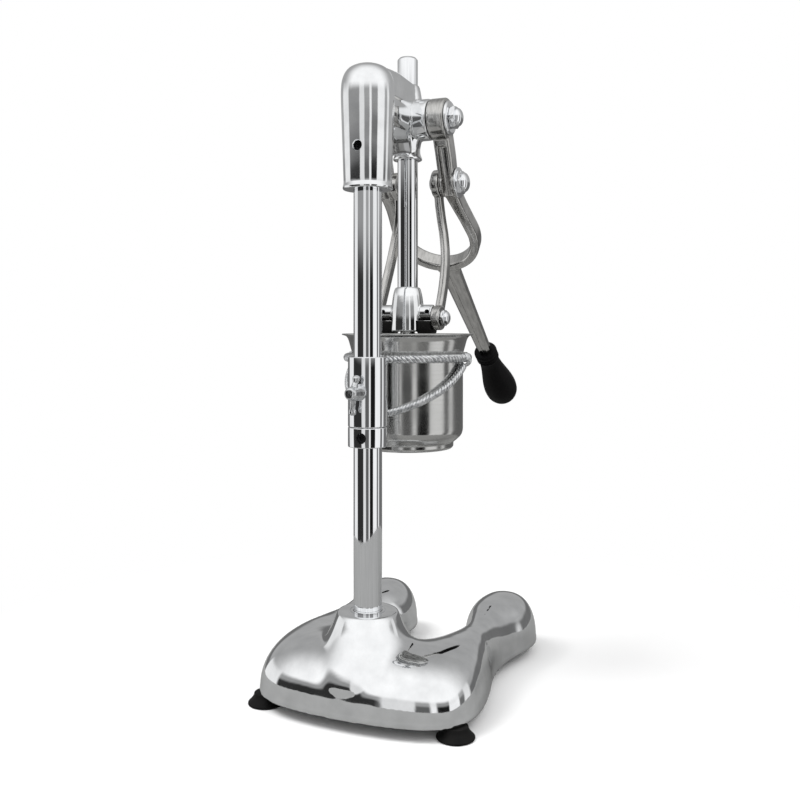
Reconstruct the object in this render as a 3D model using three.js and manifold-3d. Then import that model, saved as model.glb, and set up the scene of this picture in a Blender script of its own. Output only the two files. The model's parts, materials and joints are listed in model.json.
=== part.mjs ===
// Lever barrel press. A cast horseshoe base carries a column; the column carries a sliding barrel carrier
// and a cast head; a forked lever on the head drives a piston down through two bowed links.
// Millimetres, +Z up, floor at z = 0, the handle's side (front) towards -Y. While the pieces are made, the
// plunger axis is x = 0, y = 0; the last lines move the origin to the middle of the floor outline.

import * as THREE from "three";
import { mergeVertices } from "three/addons/utils/BufferGeometryUtils.js";
import Module from "manifold-3d";

const wasm = await Module();
wasm.setup();

// ---- Driving dimensions ----
const GAP = 0.3; // between pieces that touch
const SIDES = { left: -1, right: 1 }; // as the user in front sees them
const FINE = 24; // facets round a wide turned piece
const ROUND = 16; // facets round a shaft or a boss
const COARSE = 10; // facets round a small screw

const COLUMN_Y = 102; // column axis behind the plunger axis
const COLUMN_R = 14;
const COLUMN_BORE_R = 11.2;
const COLUMN_FOOT_Z = 34.3;
const COLUMN_TOP_Z = 609.5;

const RIM_Z = 12; // underside of the base's rim
const RIM_BAND = 5; // height of its upright lip
const BASE_WALL = 7;
const BOSS_TOP_Z = 98;
const FOOT_R = 18;
const FOOT_PLACES = { // from the column axis
  rear_left: [-100, 25],
  rear_right: [100, 25],
  front_left: [-75, -205],
  front_right: [75, -205],
};

const COLLAR_Z = [258, 277.4];
const SLEEVE_Z = [277.8, 346];
const SLEEVE_R = 19.5;
const WING_SCREW_Z = 312;

const BARREL_FLOOR_Z = 245;
const BARREL_RIM_Z = 368;
const BARREL_R = 59.7;
const BARREL_WALL = 2.2;
const RING_Z = 342.5;
const ROPE_R = 4.2;
const BRACE_R = 3.8;
const BRACE_FOOT_Z = 287;

const PIVOT_Z = 597; // lever pivot, on the plunger axis
const CROSS_BOSS_R = 22;
const CROSS_BOSS_HALF = 28;
const SET_SCREW_Z = 549; // through the head's socket to the column
const CRANK = 71; // lever pivot to link pivot
const CRANK_REST = THREE.MathUtils.degToRad(25); // forward of straight down
const LINK_LENGTH = 151;

const FORK_X = [28.5, 47]; // inner and outer face of a fork arm
const FORK_SLOPE = THREE.MathUtils.degToRad(40); // plane of the fork's bend, below horizontal
const BEND_R = 46;
const BEND_START = 79; // along that plane from the link pivot
const HANDLE_SLOPE = THREE.MathUtils.degToRad(36.3);
const HANDLE_BAR = 183; // bend to grip
const PIVOT_BOLT_R = 6;
const LINK_BOLT_R = 4.5;

const ROD_R = 11;
const ROD_Z = [393, 666];
const HUB_Z = [370, 418];
const PISTON_Z = 264;
const PISTON_R = 55.5;
const STEM_R = 8;

// ---- Materials ----
const metal = (color, roughness) => new THREE.MeshStandardMaterial({ color, roughness, metalness: 1 });
const CHROME = metal(0xd9dcdf, 0.06);
const CAST = metal(0xb7b4ae, 0.22);
const STAINLESS = metal(0xb3b4b2, 0.3);
const ZINC = metal(0xa9abad, 0.35);
const BLACK_STEEL = metal(0x1c1c1e, 0.45);
const BRONZE = metal(0xb3844a, 0.35);
const RUBBER = new THREE.MeshStandardMaterial({ color: 0x0d0d0d, roughness: 0.7, metalness: 0 });

// ---- Geometry helpers ----

// A closed geometry as a solid with its faces turned outward.
function solidOf(geometry) {
  const bare = new THREE.BufferGeometry();
  bare.setAttribute("position", geometry.getAttribute("position").clone());
  if (geometry.index) bare.setIndex(geometry.index.clone());
  const merged = mergeVertices(bare, 1e-3);
  const corners = [];
  for (let i = 0; i < merged.index.count; i += 3) {
    const [a, b, c] = merged.index.array.subarray(i, i + 3);
    if (a !== b && b !== c && c !== a) corners.push(a, b, c);
  }
  const vertProperties = merged.attributes.position.array;
  const build = (list) =>
    new wasm.Manifold(new wasm.Mesh({ numProp: 3, vertProperties, triVerts: new Uint32Array(list) }));
  const made = build(corners);
  return made.volume() > 0 ? made : build(corners.toReversed());
}

function geometryOf(solid) {
  const { vertProperties, triVerts } = solid.getMesh();
  const geometry = new THREE.BufferGeometry();
  geometry.setAttribute("position", new THREE.BufferAttribute(vertProperties, 3));
  geometry.setIndex(new THREE.BufferAttribute(triVerts, 1));
  geometry.computeVertexNormals();
  return geometry;
}

const join = (...pieces) => geometryOf(pieces.map(solidOf).reduce((a, b) => a.add(b)));
const cut = (piece, ...tools) =>
  geometryOf(tools.map(solidOf).reduce((a, b) => a.subtract(b), solidOf(piece)));
const mirrored = (piece) => geometryOf(solidOf(piece.clone().scale(-1, 1, 1)));

// A profile of [radius, z] turned about the Z axis; it starts and ends on the axis or closes on itself.
function turned(profile, facets = ROUND) {
  const outline = profile.map(([r, z]) => new THREE.Vector2(r, z));
  if (profile[0][0] > 0) outline.push(outline[0].clone());
  return new THREE.LatheGeometry(outline, facets).rotateX(Math.PI / 2);
}

const disc = (r, z0, z1, facets) => turned([[0, z0], [r, z0], [r, z1], [0, z1]], facets);
const tube = (inner, outer, z0, z1, facets) =>
  turned([[inner, z0], [outer, z0], [outer, z1], [inner, z1]], facets);
const alongX = (piece) => piece.rotateY(Math.PI / 2);
const alongRear = (piece) => piece.rotateX(-Math.PI / 2);
const discX = (r, x0, x1, y, z, facets) => alongX(disc(r, x0, x1, facets)).translate(0, y, z);

function hexPrism(acrossFlats, z0, z1) {
  return disc(acrossFlats / Math.sqrt(3), z0, z1, 6);
}

function block(x, y, z) {
  const size = [x, y, z].map(([low, high]) => high - low);
  const middle = [x, y, z].map(([low, high]) => (low + high) / 2);
  return new THREE.BoxGeometry(...size).translate(...middle);
}

// A closed skin over rings of equal length, with a flat fan over each end.
function loft(rings) {
  const size = rings[0].length;
  const points = rings.flat();
  const faces = [];
  for (let row = 0; row + 1 < rings.length; row++) {
    for (let i = 0; i < size; i++) {
      const a = row * size + i;
      const b = row * size + ((i + 1) % size);
      faces.push(a, b, b + size, a, b + size, a + size);
    }
  }
  const fan = (ring, first, flip) => {
    const hub = points.push(ring.reduce((sum, p) => sum.add(p), new THREE.Vector3()).divideScalar(size)) - 1;
    for (let i = 0; i < size; i++) {
      const edge = [first + i, first + ((i + 1) % size)];
      faces.push(hub, ...(flip ? edge.reverse() : edge));
    }
  };
  fan(rings[0], 0, true);
  fan(rings.at(-1), (rings.length - 1) * size, false);
  return new THREE.BufferGeometry().setFromPoints(points).setIndex(faces);
}

// A rectangle of size across x along, chamfered, centred on a point.
function barSection(centre, across, along, width, depth, chamfer) {
  const w = width / 2;
  const d = depth / 2;
  const corners = [
    [w, d - chamfer], [w - chamfer, d], [chamfer - w, d], [-w, d - chamfer],
    [-w, chamfer - d], [chamfer - w, -d], [w - chamfer, -d], [w, chamfer - d],
  ];
  return corners.map(([a, b]) => centre.clone().addScaledVector(across, a).addScaledVector(along, b));
}

// A round rod along a curve.
function rodAlong(curve, radius, steps) {
  const section = new THREE.Shape().absarc(0, 0, radius, 0, 2 * Math.PI);
  return new THREE.ExtrudeGeometry(section, { steps, extrudePath: curve, curveSegments: 4 });
}

const press = new THREE.Group();

function place(name, geometry, material, at = [0, 0, 0], turn = [0, 0, 0]) {
  const mesh = new THREE.Mesh(geometryOf(solidOf(geometry)), material);
  mesh.name = name;
  mesh.position.set(...at);
  mesh.rotation.set(...turn);
  press.add(mesh);
}

function placeBoth(name, geometry, material) {
  place(name + "_right", geometry, material);
  place(name + "_left", mirrored(geometry), material);
}

// Linkage pivots at rest, as [y, z]; forward is -y.
const LINK_TOP = [-CRANK * Math.sin(CRANK_REST), PIVOT_Z - CRANK * Math.cos(CRANK_REST)];
const LINK_FOOT = [0, LINK_TOP[1] - Math.sqrt(LINK_LENGTH ** 2 - LINK_TOP[0] ** 2)];

// ---- Base ----

// Right half of the rim from the rear middle round to the tip of the front lobe, from the column axis:
// the outer edge as [x, y, crest height], and the inner edge as [x, y].
const OUTER_EDGE = [
  [0, 60, 72], [45, 57, 71], [80, 49, 69], [102, 34, 67], [112, 10, 66], [113, -18, 65], [108, -54, 63],
  [100, -92, 62], [98, -128, 64], [103, -162, 67], [111, -194, 68], [111, -222, 66], [103, -244, 57],
  [90, -257, 40], [80, -261, 25],
];
const INNER_EDGE = [
  [0, -55], [10, -56], [19, -60], [28, -69], [37, -82], [44, -98], [49, -115], [51, -135], [46, -156],
  [39, -177], [35, -200], [38, -224], [47, -244], [60, -257], [70, -261],
];
const HALF_STATIONS = 14;
const CROWN_STEPS = 8;
const CROWN_POWER = 0.72; // below 1 squares up the rounded section

const outerEdge = new THREE.CatmullRomCurve3(OUTER_EDGE.map((p) => new THREE.Vector3(...p)));
const innerEdge = new THREE.CatmullRomCurve3(INNER_EDGE.map(([x, y]) => new THREE.Vector3(x, y, 0)));

// One crowned section from the outer to the inner rim, drawn in by the wall for the hollow underneath.
function baseSection(u, side, wall) {
  const outer = outerEdge.getPoint(u);
  const inner = innerEdge.getPoint(u);
  const middle = outer.clone().add(inner).multiplyScalar(0.5);
  const reach = outer.clone().sub(middle).setZ(0);
  reach.setLength(reach.length() - wall);
  const point = (across, z) =>
    new THREE.Vector3(side * (middle.x + reach.x * across), COLUMN_Y + middle.y + reach.y * across, z);
  const shoulder = RIM_Z + RIM_BAND;
  const floor = wall > 0 ? 0 : RIM_Z;
  const ring = [point(1, floor)];
  for (let i = 0; i <= CROWN_STEPS; i++) {
    const turn = (Math.PI * i) / CROWN_STEPS;
    const across = Math.sign(Math.cos(turn)) * Math.abs(Math.cos(turn)) ** CROWN_POWER;
    const rise = Math.abs(Math.sin(turn)) ** CROWN_POWER;
    ring.push(point(across, shoulder + (outer.z - wall - shoulder) * rise));
  }
  ring.push(point(-1, floor));
  return ring;
}

function baseBody(wall, reachToTip) {
  const rings = [];
  for (let i = -HALF_STATIONS; i <= HALF_STATIONS; i++) {
    const side = i < 0 ? 1 : -1;
    rings.push(baseSection((Math.abs(i) / HALF_STATIONS) * reachToTip, side, wall));
  }
  return loft(rings);
}

function addBase() {
  const onColumn = (piece) => piece.translate(0, COLUMN_Y, 0);
  const boss = onColumn(turned([
    [0, 30], [50, 30], [56, 45], [50, 61], [42, 72], [36, 82],
    [32, 91], [30.2, 96], [29, BOSS_TOP_Z], [0, BOSS_TOP_Z],
  ], FINE));
  const post = onColumn(disc(27, 20, BOSS_TOP_Z, FINE));
  const footBosses = Object.values(FOOT_PLACES).map(([x, y]) =>
    disc(7.5, RIM_Z, 60, COARSE).translate(x, COLUMN_Y + y, 0));
  const hollow = cut(baseBody(BASE_WALL, 0.95), post, ...footBosses);
  const footHoles = Object.values(FOOT_PLACES).map(([x, y]) =>
    disc(2.5, 0, 29, 12).translate(x, COLUMN_Y + y, 0));
  const casting = cut(
    join(baseBody(0, 1), boss),
    hollow,
    onColumn(disc(COLUMN_R + GAP, COLUMN_FOOT_Z - GAP, 120, FINE)),
    onColumn(disc(5.6, 0, 60, COARSE)),
    ...footHoles,
  );
  place("base_casting", casting, CHROME);

  const foot = turned([
    [2.5, 4], [6.5, 4], [6.5, 0], [FOOT_R, 0], [FOOT_R, 2.2],
    [15.5, 4.2], [12.5, 7.5], [11.6, 11.7], [2.5, 11.7],
  ]);
  const footScrew = turned([[0, 0.8], [4.6, 0.8], [5.6, 1.8],
    [5.6, 3.7], [2.2, 3.7], [2.2, 26], [0, 28]], COARSE);
  for (const [corner, [x, y]] of Object.entries(FOOT_PLACES)) {
    place("foot_" + corner, foot, RUBBER, [x, COLUMN_Y + y, 0]);
    place("foot_screw_" + corner, footScrew, ZINC, [x, COLUMN_Y + y, 0]);
  }
}

// ---- Column, collar and carrier ----

function addColumn() {
  const at = [0, COLUMN_Y, 0];
  place("column", tube(COLUMN_BORE_R, COLUMN_R, COLUMN_FOOT_Z, COLUMN_TOP_Z, FINE), CHROME, at);
  place("column_plug", tube(5.3, COLUMN_BORE_R - GAP, COLUMN_FOOT_Z, 74, COARSE), ZINC, at);
  place("column_washer", tube(5.6, 16, 16.7, 19.7), ZINC, at);
  place("column_bolt", join(hexPrism(17, 9.5, 16.4), disc(5, 16, 70, COARSE)), ZINC, at);
}

// A bored ring on the column with a radial hole out to the rear.
function boredSleeve(r, [z0, z1], lip, holeR, holeZ) {
  const bore = COLUMN_R + GAP;
  const body = turned([
    [bore, z0], [r - lip, z0], [r, z0 + lip], [r, z1 - lip], [r - lip, z1], [bore, z1],
  ], FINE);
  const hole = alongRear(disc(holeR, COLUMN_R - 2, r + 5, COARSE)).translate(0, 0, holeZ);
  return cut(body, hole);
}

// A socket set screw lying along +Y, with its hex recess at the outer end.
function setScrew(r, inner, outer) {
  return alongRear(cut(disc(r, inner, outer, COARSE), hexPrism(r, outer - 3, outer + 1)));
}

function addCollar() {
  const middle = (COLLAR_Z[0] + COLLAR_Z[1]) / 2;
  const at = [0, COLUMN_Y, 0];
  const turn = [0, 0, THREE.MathUtils.degToRad(5)];
  place("stop_collar", boredSleeve(SLEEVE_R, COLLAR_Z, 0.8, 4.6, middle), CHROME, at, turn);
  const screw = setScrew(4.3, COLUMN_R + GAP, 17.6).translate(0, 0, middle);
  place("collar_set_screw", screw, BLACK_STEEL, at, turn);
}

function addWingScrew() {
  const hub = turned([[0, 20.2], [8, 20.2], [8, 24], [6.4, 33], [5.8, 40], [4.4, 41.2], [0, 41.6]], ROUND);
  const shank = disc(4, COLUMN_R + GAP, 24, COARSE);
  const wings = [1, -1].map((end) => {
    const lean = THREE.MathUtils.degToRad(12);
    const wing = join(
      turned([[0, 0], [3.6, 0], [2.3, 9], [2.3, 14], [0, 14]], 12),
      new THREE.SphereGeometry(3.3, 10, 6).translate(0, 0, 15.5),
    );
    return wing.rotateX(end > 0 ? lean : Math.PI - lean).translate(0, 33, 0);
  });
  const screw = join(alongRear(hub), alongRear(shank), ...wings);
  const tilt = THREE.MathUtils.degToRad(8);
  place("wing_screw", screw.rotateY(-tilt), CHROME, [0, COLUMN_Y, WING_SCREW_Z]);
}

// Angle round the plunger axis, from the rear towards the right-hand side.
const aroundBarrel = (angle, radius, z) =>
  new THREE.Vector3(radius * Math.sin(angle), radius * Math.cos(angle), z);

function addCarrier() {
  const ropeCentre = BARREL_R + 3 * GAP + ROPE_R;
  const sleeve = boredSleeve(SLEEVE_R, SLEEVE_Z, 0.8, 4.3, WING_SCREW_Z).translate(0, COLUMN_Y, 0);
  // A plate from the ring into the sleeve's wall, short of the column.
  const arm = block([-7, 7], [ropeCentre + ROPE_R + GAP, COLUMN_Y - COLUMN_R - 1.5], [282, 345]);
  place("carrier_sleeve", join(sleeve, arm), CHROME);
  const ring = new THREE.TorusGeometry(ropeCentre, ROPE_R, 8, FINE).translate(0, 0, RING_Z);
  place("carrier_ring", ring, CHROME);

  const braceCentre = BARREL_R + 2 * GAP + BRACE_R;
  const highest = RING_Z - ROPE_R - BRACE_R - GAP;
  const firstAngle = 0.06;
  const lastAngle = THREE.MathUtils.degToRad(88);
  const stops = 8;
  const route = [];
  for (let i = 0; i <= stops; i++) {
    const part = i / stops;
    const rise = (highest - BRACE_FOOT_Z) * (0.5 * part + 0.5 * part ** 2);
    const angle = THREE.MathUtils.lerp(firstAngle, lastAngle, part);
    route.push(aroundBarrel(angle, braceCentre, BRACE_FOOT_Z + rise));
  }
  placeBoth("carrier_brace", rodAlong(new THREE.CatmullRomCurve3(route), BRACE_R, 14), CHROME);
}

function addBarrel() {
  const inside = BARREL_R - BARREL_WALL;
  const shell = turned([
    [41, BARREL_FLOOR_Z], [47.5, BARREL_FLOOR_Z], [49.5, 247], [49.5, 252.5], [51, 253.5], [BARREL_R, 262],
    [BARREL_R, 348.5], [61.6, 350], [64, 362], [66, 365.8], [71.2, 366.6], [71.2, BARREL_RIM_Z],
    [65.4, BARREL_RIM_Z], [62.6, 363.5], [inside + 1.5, 351.5], [inside, 350], [inside, 262.6],
    [48.4, 253.6], [47.6, 252.6], [47.6, 249], [41, 249],
  ], FINE);
  place("barrel", shell, STAINLESS);
  const holes = [];
  for (const [count, radius] of [[1, 0], [6, 15], [12, 30]]) {
    for (let i = 0; i < count; i++) {
      const angle = (2 * Math.PI * i) / count;
      holes.push(disc(3, 240, 260, 6).translate(radius * Math.cos(angle), radius * Math.sin(angle), 0));
    }
  }
  place("strainer_plate", cut(disc(47.2, 249.3, 251.5, FINE), ...holes), STAINLESS);
}

// ---- Head ----

// An outline of [y, z] given depth along X to a half-width each way, with bevelled edges.
function ribPlate(outline, half, bevel) {
  const shape = new THREE.Shape(outline.map(([y, z]) => new THREE.Vector2(y, z)));
  const plate = new THREE.ExtrudeGeometry(shape, {
    depth: 2 * (half - bevel), bevelThickness: bevel, bevelSize: bevel, bevelOffset: -bevel, bevelSegments: 2,
  });
  // The shape's x is the machine's y and its y the machine's z, so its depth runs along x.
  return plate.rotateX(Math.PI / 2).rotateZ(Math.PI / 2).translate(bevel - half, 0, 0);
}

function addHead() {
  const socket = turned([
    [0, 509], [24.4, 509], [24.6, 512], [23.6, 514], [26.5, 604],
    [26, 612], [23.6, 620], [19, 627], [12, 631.5],
    [5, 633], [0, 633],
  ], FINE).translate(0, COLUMN_Y, 0);
  const web = [[COLUMN_Y, 533], [78, 540], [60, 549], [30, 556], [0, 560], [0, 632], [COLUMN_Y, 630]];
  const crest = [[COLUMN_Y, 606], [8, 606], [8, 635], [50, 637], [COLUMN_Y, 632]];
  const arm = disc(CROSS_BOSS_R - 0.5, 0, COLUMN_Y, ROUND);
  alongRear(arm).scale(0.6, 1, 1).translate(0, 0, PIVOT_Z);
  const crossBoss = discX(CROSS_BOSS_R, -CROSS_BOSS_HALF, CROSS_BOSS_HALF, 0, PIVOT_Z, FINE);
  const seams = Object.values(SIDES).map((side) =>
    discX(CROSS_BOSS_R + 0.9, side * 13 - 0.8, side * 13 + 0.8, 0, PIVOT_Z, FINE));
  const guide = turned([
    [0, 554.5], [15.6, 554.5], [15.6, 556.5], [13.6, 561], [13.4, 567], [15.6, 577], [15.6, 622], [14.2, 629],
    [12.6, 636], [0, 636],
  ]);
  const setHole = alongRear(disc(4.4, COLUMN_R - 2, 40, COARSE)).translate(0, COLUMN_Y, SET_SCREW_Z);
  const studHoles = Object.values(SIDES).map((side) =>
    discX(PIVOT_BOLT_R + GAP, side * 12.6, side * 40, 0, PIVOT_Z, COARSE));
  const head = cut(
    join(socket, ribPlate(web, 8, 2), ribPlate(crest, 12.5, 4), arm, crossBoss, ...seams, guide),
    disc(COLUMN_R + GAP, 500, COLUMN_TOP_Z + GAP, FINE).translate(0, COLUMN_Y, 0),
    disc(ROD_R + GAP, 540, 650),
    setHole,
    ...studHoles,
  );
  place("head_casting", head, CHROME);
  place("head_set_screw", setScrew(4.1, COLUMN_R + GAP, 19.5), BLACK_STEEL, [0, COLUMN_Y, SET_SCREW_Z]);

  const stud = discX(PIVOT_BOLT_R, 12.9, 58, 0, PIVOT_Z, COARSE);
  const washer = alongX(tube(PIVOT_BOLT_R + GAP, 18, FORK_X[1] + GAP, 50.4)).translate(0, 0, PIVOT_Z);
  placeBoth("pivot_stud", stud, ZINC);
  placeBoth("pivot_washer", washer, CHROME);
  placeBoth("pivot_nut", capNut(22, PIVOT_BOLT_R + GAP, 50.7, 58.3, 63), CHROME);
}

// A domed nut on the X axis at the lever pivot: hexagon, then a dome, bored from its inner face.
function capNut(acrossFlats, bore, face, blind, top) {
  const half = acrossFlats / 2;
  const shoulder = face + 0.55 * (top - face);
  const dome = turned([
    [0, face], [half + 1, face], [half + 1, shoulder - 1],
    [half - 1, shoulder + 1], [half - 4, top - 1], [0, top],
  ], ROUND);
  const body = join(hexPrism(acrossFlats, face, shoulder), dome);
  return alongX(cut(body, disc(bore, face - 1, blind, COARSE))).translate(0, 0, PIVOT_Z);
}

// ---- Lever ----

// A point on the inclined plane of the fork's bend: x, and distance down the slope from the link pivot.
const onSlope = (x, along) =>
  new THREE.Vector3(
    x,
    LINK_TOP[0] - along * Math.cos(FORK_SLOPE),
    LINK_TOP[1] - along * Math.sin(FORK_SLOPE),
  );

function forkHalf() {
  const armX = (FORK_X[0] + FORK_X[1]) / 2;
  const points = [
    new THREE.Vector3(armX, 0, PIVOT_Z),
    new THREE.Vector3(armX, LINK_TOP[0] * 0.5, (PIVOT_Z + LINK_TOP[1]) / 2),
    new THREE.Vector3(armX, ...LINK_TOP),
    onSlope(armX + 2, 28),
    onSlope(armX + 6, 56),
  ];
  for (const bend of [0, 22.5, 45, 67.5, 90]) {
    const angle = THREE.MathUtils.degToRad(bend);
    points.push(onSlope(BEND_R * Math.cos(angle), BEND_START + BEND_R * Math.sin(angle)));
  }
  return points;
}

function forkBody() {
  const half = forkHalf();
  const mirror = half.slice(0, -1).reverse().map((p) => p.clone().setX(-p.x));
  const path = new THREE.CatmullRomCurve3([...half, ...mirror]);
  const steps = 32;
  const rings = [];
  for (let i = 0; i <= steps; i++) {
    const centre = path.getPoint(i / steps);
    const tangent = path.getTangent(i / steps);
    const down = THREE.MathUtils.smoothstep(PIVOT_Z - centre.z, 40, 100);
    const lift = THREE.MathUtils.lerp(CRANK_REST, Math.PI / 2 - FORK_SLOPE, down);
    const along = new THREE.Vector3(0, -Math.cos(lift), Math.sin(lift));
    along.addScaledVector(tangent, -along.dot(tangent)).normalize();
    const across = new THREE.Vector3().crossVectors(along, tangent);
    const width = THREE.MathUtils.lerp(FORK_X[1] - FORK_X[0], 11, down);
    rings.push(barSection(centre, across, along, width, 20, 2.5));
  }
  return loft(rings);
}

// Unit vector down the handle, and a point on its axis that far from the middle of the bend.
const HANDLE_WAY = new THREE.Vector3(0, -Math.cos(HANDLE_SLOPE), -Math.sin(HANDLE_SLOPE));
const onHandle = (along) => onSlope(0, BEND_START + BEND_R).addScaledVector(HANDLE_WAY, along);

function handleBar() {
  const across = new THREE.Vector3(1, 0, 0);
  const along = new THREE.Vector3().crossVectors(across, HANDLE_WAY);
  const sections = [
    [-3, 30, 18, 5], [6, 30, 18, 5], [16, 24, 17, 4.5], [40, 23, 16.5, 4.5], [HANDLE_BAR, 17, 13.5, 3.5],
  ];
  return loft(sections.map(([at, width, depth, chamfer]) =>
    barSection(onHandle(at), across, along, width, depth, chamfer)));
}

// A shape turned about Z from 0 upward, laid along the handle from its grip end.
function alongHandle(piece) {
  const start = onHandle(HANDLE_BAR);
  return piece.rotateX(Math.PI / 2 + HANDLE_SLOPE).translate(start.x, start.y, start.z);
}

function addLever() {
  const bosses = Object.values(SIDES).flatMap((side) => [
    discX(21.5, side * FORK_X[0], side * FORK_X[1], 0, PIVOT_Z),
    discX(14.5, side * FORK_X[0], side * FORK_X[1], ...LINK_TOP),
  ]);
  const spigot = alongHandle(disc(6, -6, 60, COARSE));
  // Grooves down the rear faces of the arms, between two ribs, which run out below the link pivot.
  const grooves = Object.values(SIDES).map((side) => {
    const middle = (side * (FORK_X[0] + FORK_X[1])) / 2;
    const groove = block([middle - 4.6, middle + 4.6], [6, 24], [-88, -27]);
    return groove.rotateX(-CRANK_REST).translate(0, 0, PIVOT_Z);
  });
  const bores = [
    discX(9.8, -60, 60, 0, PIVOT_Z, ROUND),
    discX(LINK_BOLT_R + GAP, -60, 60, ...LINK_TOP, COARSE),
  ];
  const lever = cut(join(forkBody(), ...bosses, handleBar(), spigot), ...grooves, ...bores);
  place("lever_yoke", lever, CAST);

  const bush = alongX(tube(PIVOT_BOLT_R + GAP, 9.5, FORK_X[0], FORK_X[1])).translate(0, 0, PIVOT_Z);
  placeBoth("pivot_bush", bush, BRONZE);

  const grip = turned([
    [6.3, 0.3], [13.4, 0.3], [15.4, 2], [15.4, 6], [13.4, 8],
    [15.6, 10.5], [13.6, 13], [15.6, 15.5], [13.8, 18.5],
    [13.8, 28], [15.6, 42], [18.6, 58], [21.4, 74], [22.9, 88], [22, 100], [18, 109], [11, 115], [4, 117.4],
    [0, 117.6], [0, 61], [6.3, 61],
  ]);
  place("handle_grip", alongHandle(grip), RUBBER);
}

// ---- Links ----

function addLinks() {
  const [topY, topZ] = LINK_TOP;
  const bow = [ // x, y, z down the middle of the strap
    [24, topY, topZ], [24, -34.2, 512], [25.6, -36, 495], [29, -35.3, 475], [32.3, -30.5, 450],
    [34.5, -18.5, 420], [35.4, 0, LINK_FOOT[1]],
  ];
  const path = new THREE.CatmullRomCurve3(bow.map((p) => new THREE.Vector3(...p)));
  const rings = [];
  const steps = 10;
  for (let i = 0; i <= steps; i++) {
    const tangent = path.getTangent(i / steps);
    const across = new THREE.Vector3(1, 0, 0).addScaledVector(tangent, -tangent.x).normalize();
    const along = new THREE.Vector3().crossVectors(tangent, across);
    rings.push(barSection(path.getPoint(i / steps), across, along, 8, 13, 2));
  }
  const link = cut(
    join(loft(rings), discX(15.4, 19.8, 28.2, topY, topZ), discX(13, 31, 39.8, ...LINK_FOOT)),
    discX(LINK_BOLT_R + GAP, 10, 60, topY, topZ, COARSE),
    discX(LINK_BOLT_R + GAP, 10, 60, ...LINK_FOOT, COARSE),
  );
  placeBoth("link", link, CAST);

  const upperBolt = join(
    discX(8, 16, 19.5, topY, topZ, ROUND),
    discX(LINK_BOLT_R, 19, 55, topY, topZ, COARSE),
  );
  placeBoth("link_upper_bolt", upperBolt, ZINC);
  const upperNut = cut(
    join(
      discX(16.8, FORK_X[1] + GAP, 50, topY, topZ, ROUND),
      alongX(hexPrism(24, 49.5, 55)).translate(0, topY, topZ),
      alongX(turned([[0, 49.5], [12.6, 49.5], [12.6, 54], [9.5, 58], [4, 60], [0, 60]], ROUND))
        .translate(0, topY, topZ),
    ),
    discX(LINK_BOLT_R + GAP, 40, 55.3, topY, topZ, COARSE),
  );
  placeBoth("link_upper_nut", upperNut, CHROME);
  const lowerBolt = join(
    discX(LINK_BOLT_R, 30.8, 44, ...LINK_FOOT, COARSE),
    alongX(hexPrism(17, 40.1, 44.5)).translate(0, ...LINK_FOOT),
    alongX(turned([[0, 40.1], [9.6, 40.1], [9.6, 43], [7.4, 47], [3, 48.5], [0, 48.5]], ROUND))
      .translate(0, ...LINK_FOOT),
  );
  placeBoth("link_lower_bolt", lowerBolt, CHROME);
}

// ---- Plunger ----

function addPlunger() {
  const [rodFoot, rodTop] = ROD_Z;
  const rod = turned([[0, rodFoot], [ROD_R, rodFoot],
    [ROD_R, rodTop - 2.5], [ROD_R - 2.5, rodTop], [0, rodTop]]);
  place("plunger_rod", rod, CHROME);

  const hub = turned([
    [0, HUB_Z[0]], [19, HUB_Z[0]], [18.6, 384], [17, 400], [15.4, 411],
    [13.8, 416.6], [12.6, HUB_Z[1]], [0, HUB_Z[1]],
  ]);
  const lugMiddle = 390.4;
  const lugs = Object.values(SIDES).map((side) => discX(8.7, 0, side * 30.4, 0, lugMiddle, 20));
  const grubHoles = Object.values(SIDES).map((side) =>
    alongRear(disc(2.6, 3, 12, 12)).translate(side * 25.5, 0, lugMiddle + 1));
  const padRecess = Object.values(SIDES).map((side) =>
    block(side > 0 ? [14, 40] : [-40, -14], [-12, 12], [360, 382]));
  const crosshead = cut(
    join(hub, ...lugs),
    disc(ROD_R + GAP, rodFoot - GAP, 430),
    disc(STEM_R + GAP, 360, 384),
    ...grubHoles,
    ...padRecess,
  );
  place("crosshead", crosshead, CHROME);
  for (const [sideName, side] of Object.entries(SIDES)) {
    const at = [side * 25.5, 0, lugMiddle + 1];
    place("crosshead_set_screw_" + sideName, alongRear(disc(2.3, 3.3, 6.8, 12)), BLACK_STEEL, at);
  }
  placeBoth("bumper", block([14.3, 30.4], [-10, 10], [BARREL_RIM_Z + GAP, 381.7]), RUBBER);

  const stemTop = 383.7;
  const stem = turned([[0, 256.5], [5, 256.5], [6, 257.5], [6, 276.3],
    [STEM_R, 276.3], [STEM_R, stemTop], [0, stemTop]]);
  place("piston_stem", stem, STAINLESS);
  const grooveR = PISTON_R - 3;
  const piston = turned([
    [6.3, PISTON_Z], [PISTON_R, PISTON_Z], [PISTON_R, 267.4],
    [grooveR, 267.4], [grooveR, 272], [PISTON_R, 272],
    [PISTON_R, 274.5], [14, 276], [6.3, 276],
  ], FINE);
  place("piston_disc", piston, STAINLESS);
  place("piston_seal", tube(grooveR + GAP, BARREL_R - BARREL_WALL - 0.5, 267.7, 271.7, FINE), RUBBER);
  place("piston_nut", cut(hexPrism(19, 257, PISTON_Z - GAP), disc(6.3, 250, 270)), STAINLESS);
}

addBase();
addColumn();
addCollar();
addCarrier();
addWingScrew();
addBarrel();
addHead();
addLever();
addLinks();
addPlunger();

// Origin: the middle of the floor outline.
const outline = new THREE.Box3().setFromObject(press, true);
press.position.set(-(outline.min.x + outline.max.x) / 2, -(outline.min.y + outline.max.y) / 2, 0);

const model = new THREE.Group();
model.add(press);
export default model;
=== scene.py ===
"""Looks of the lever barrel press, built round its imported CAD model.

Shapes are made in millimetres from the plunger rod's axis on the floor (+Z up, the handle towards -Y),
and turned into metres in the frame's own axes when a piece is made.
"""

import json
import math

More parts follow.
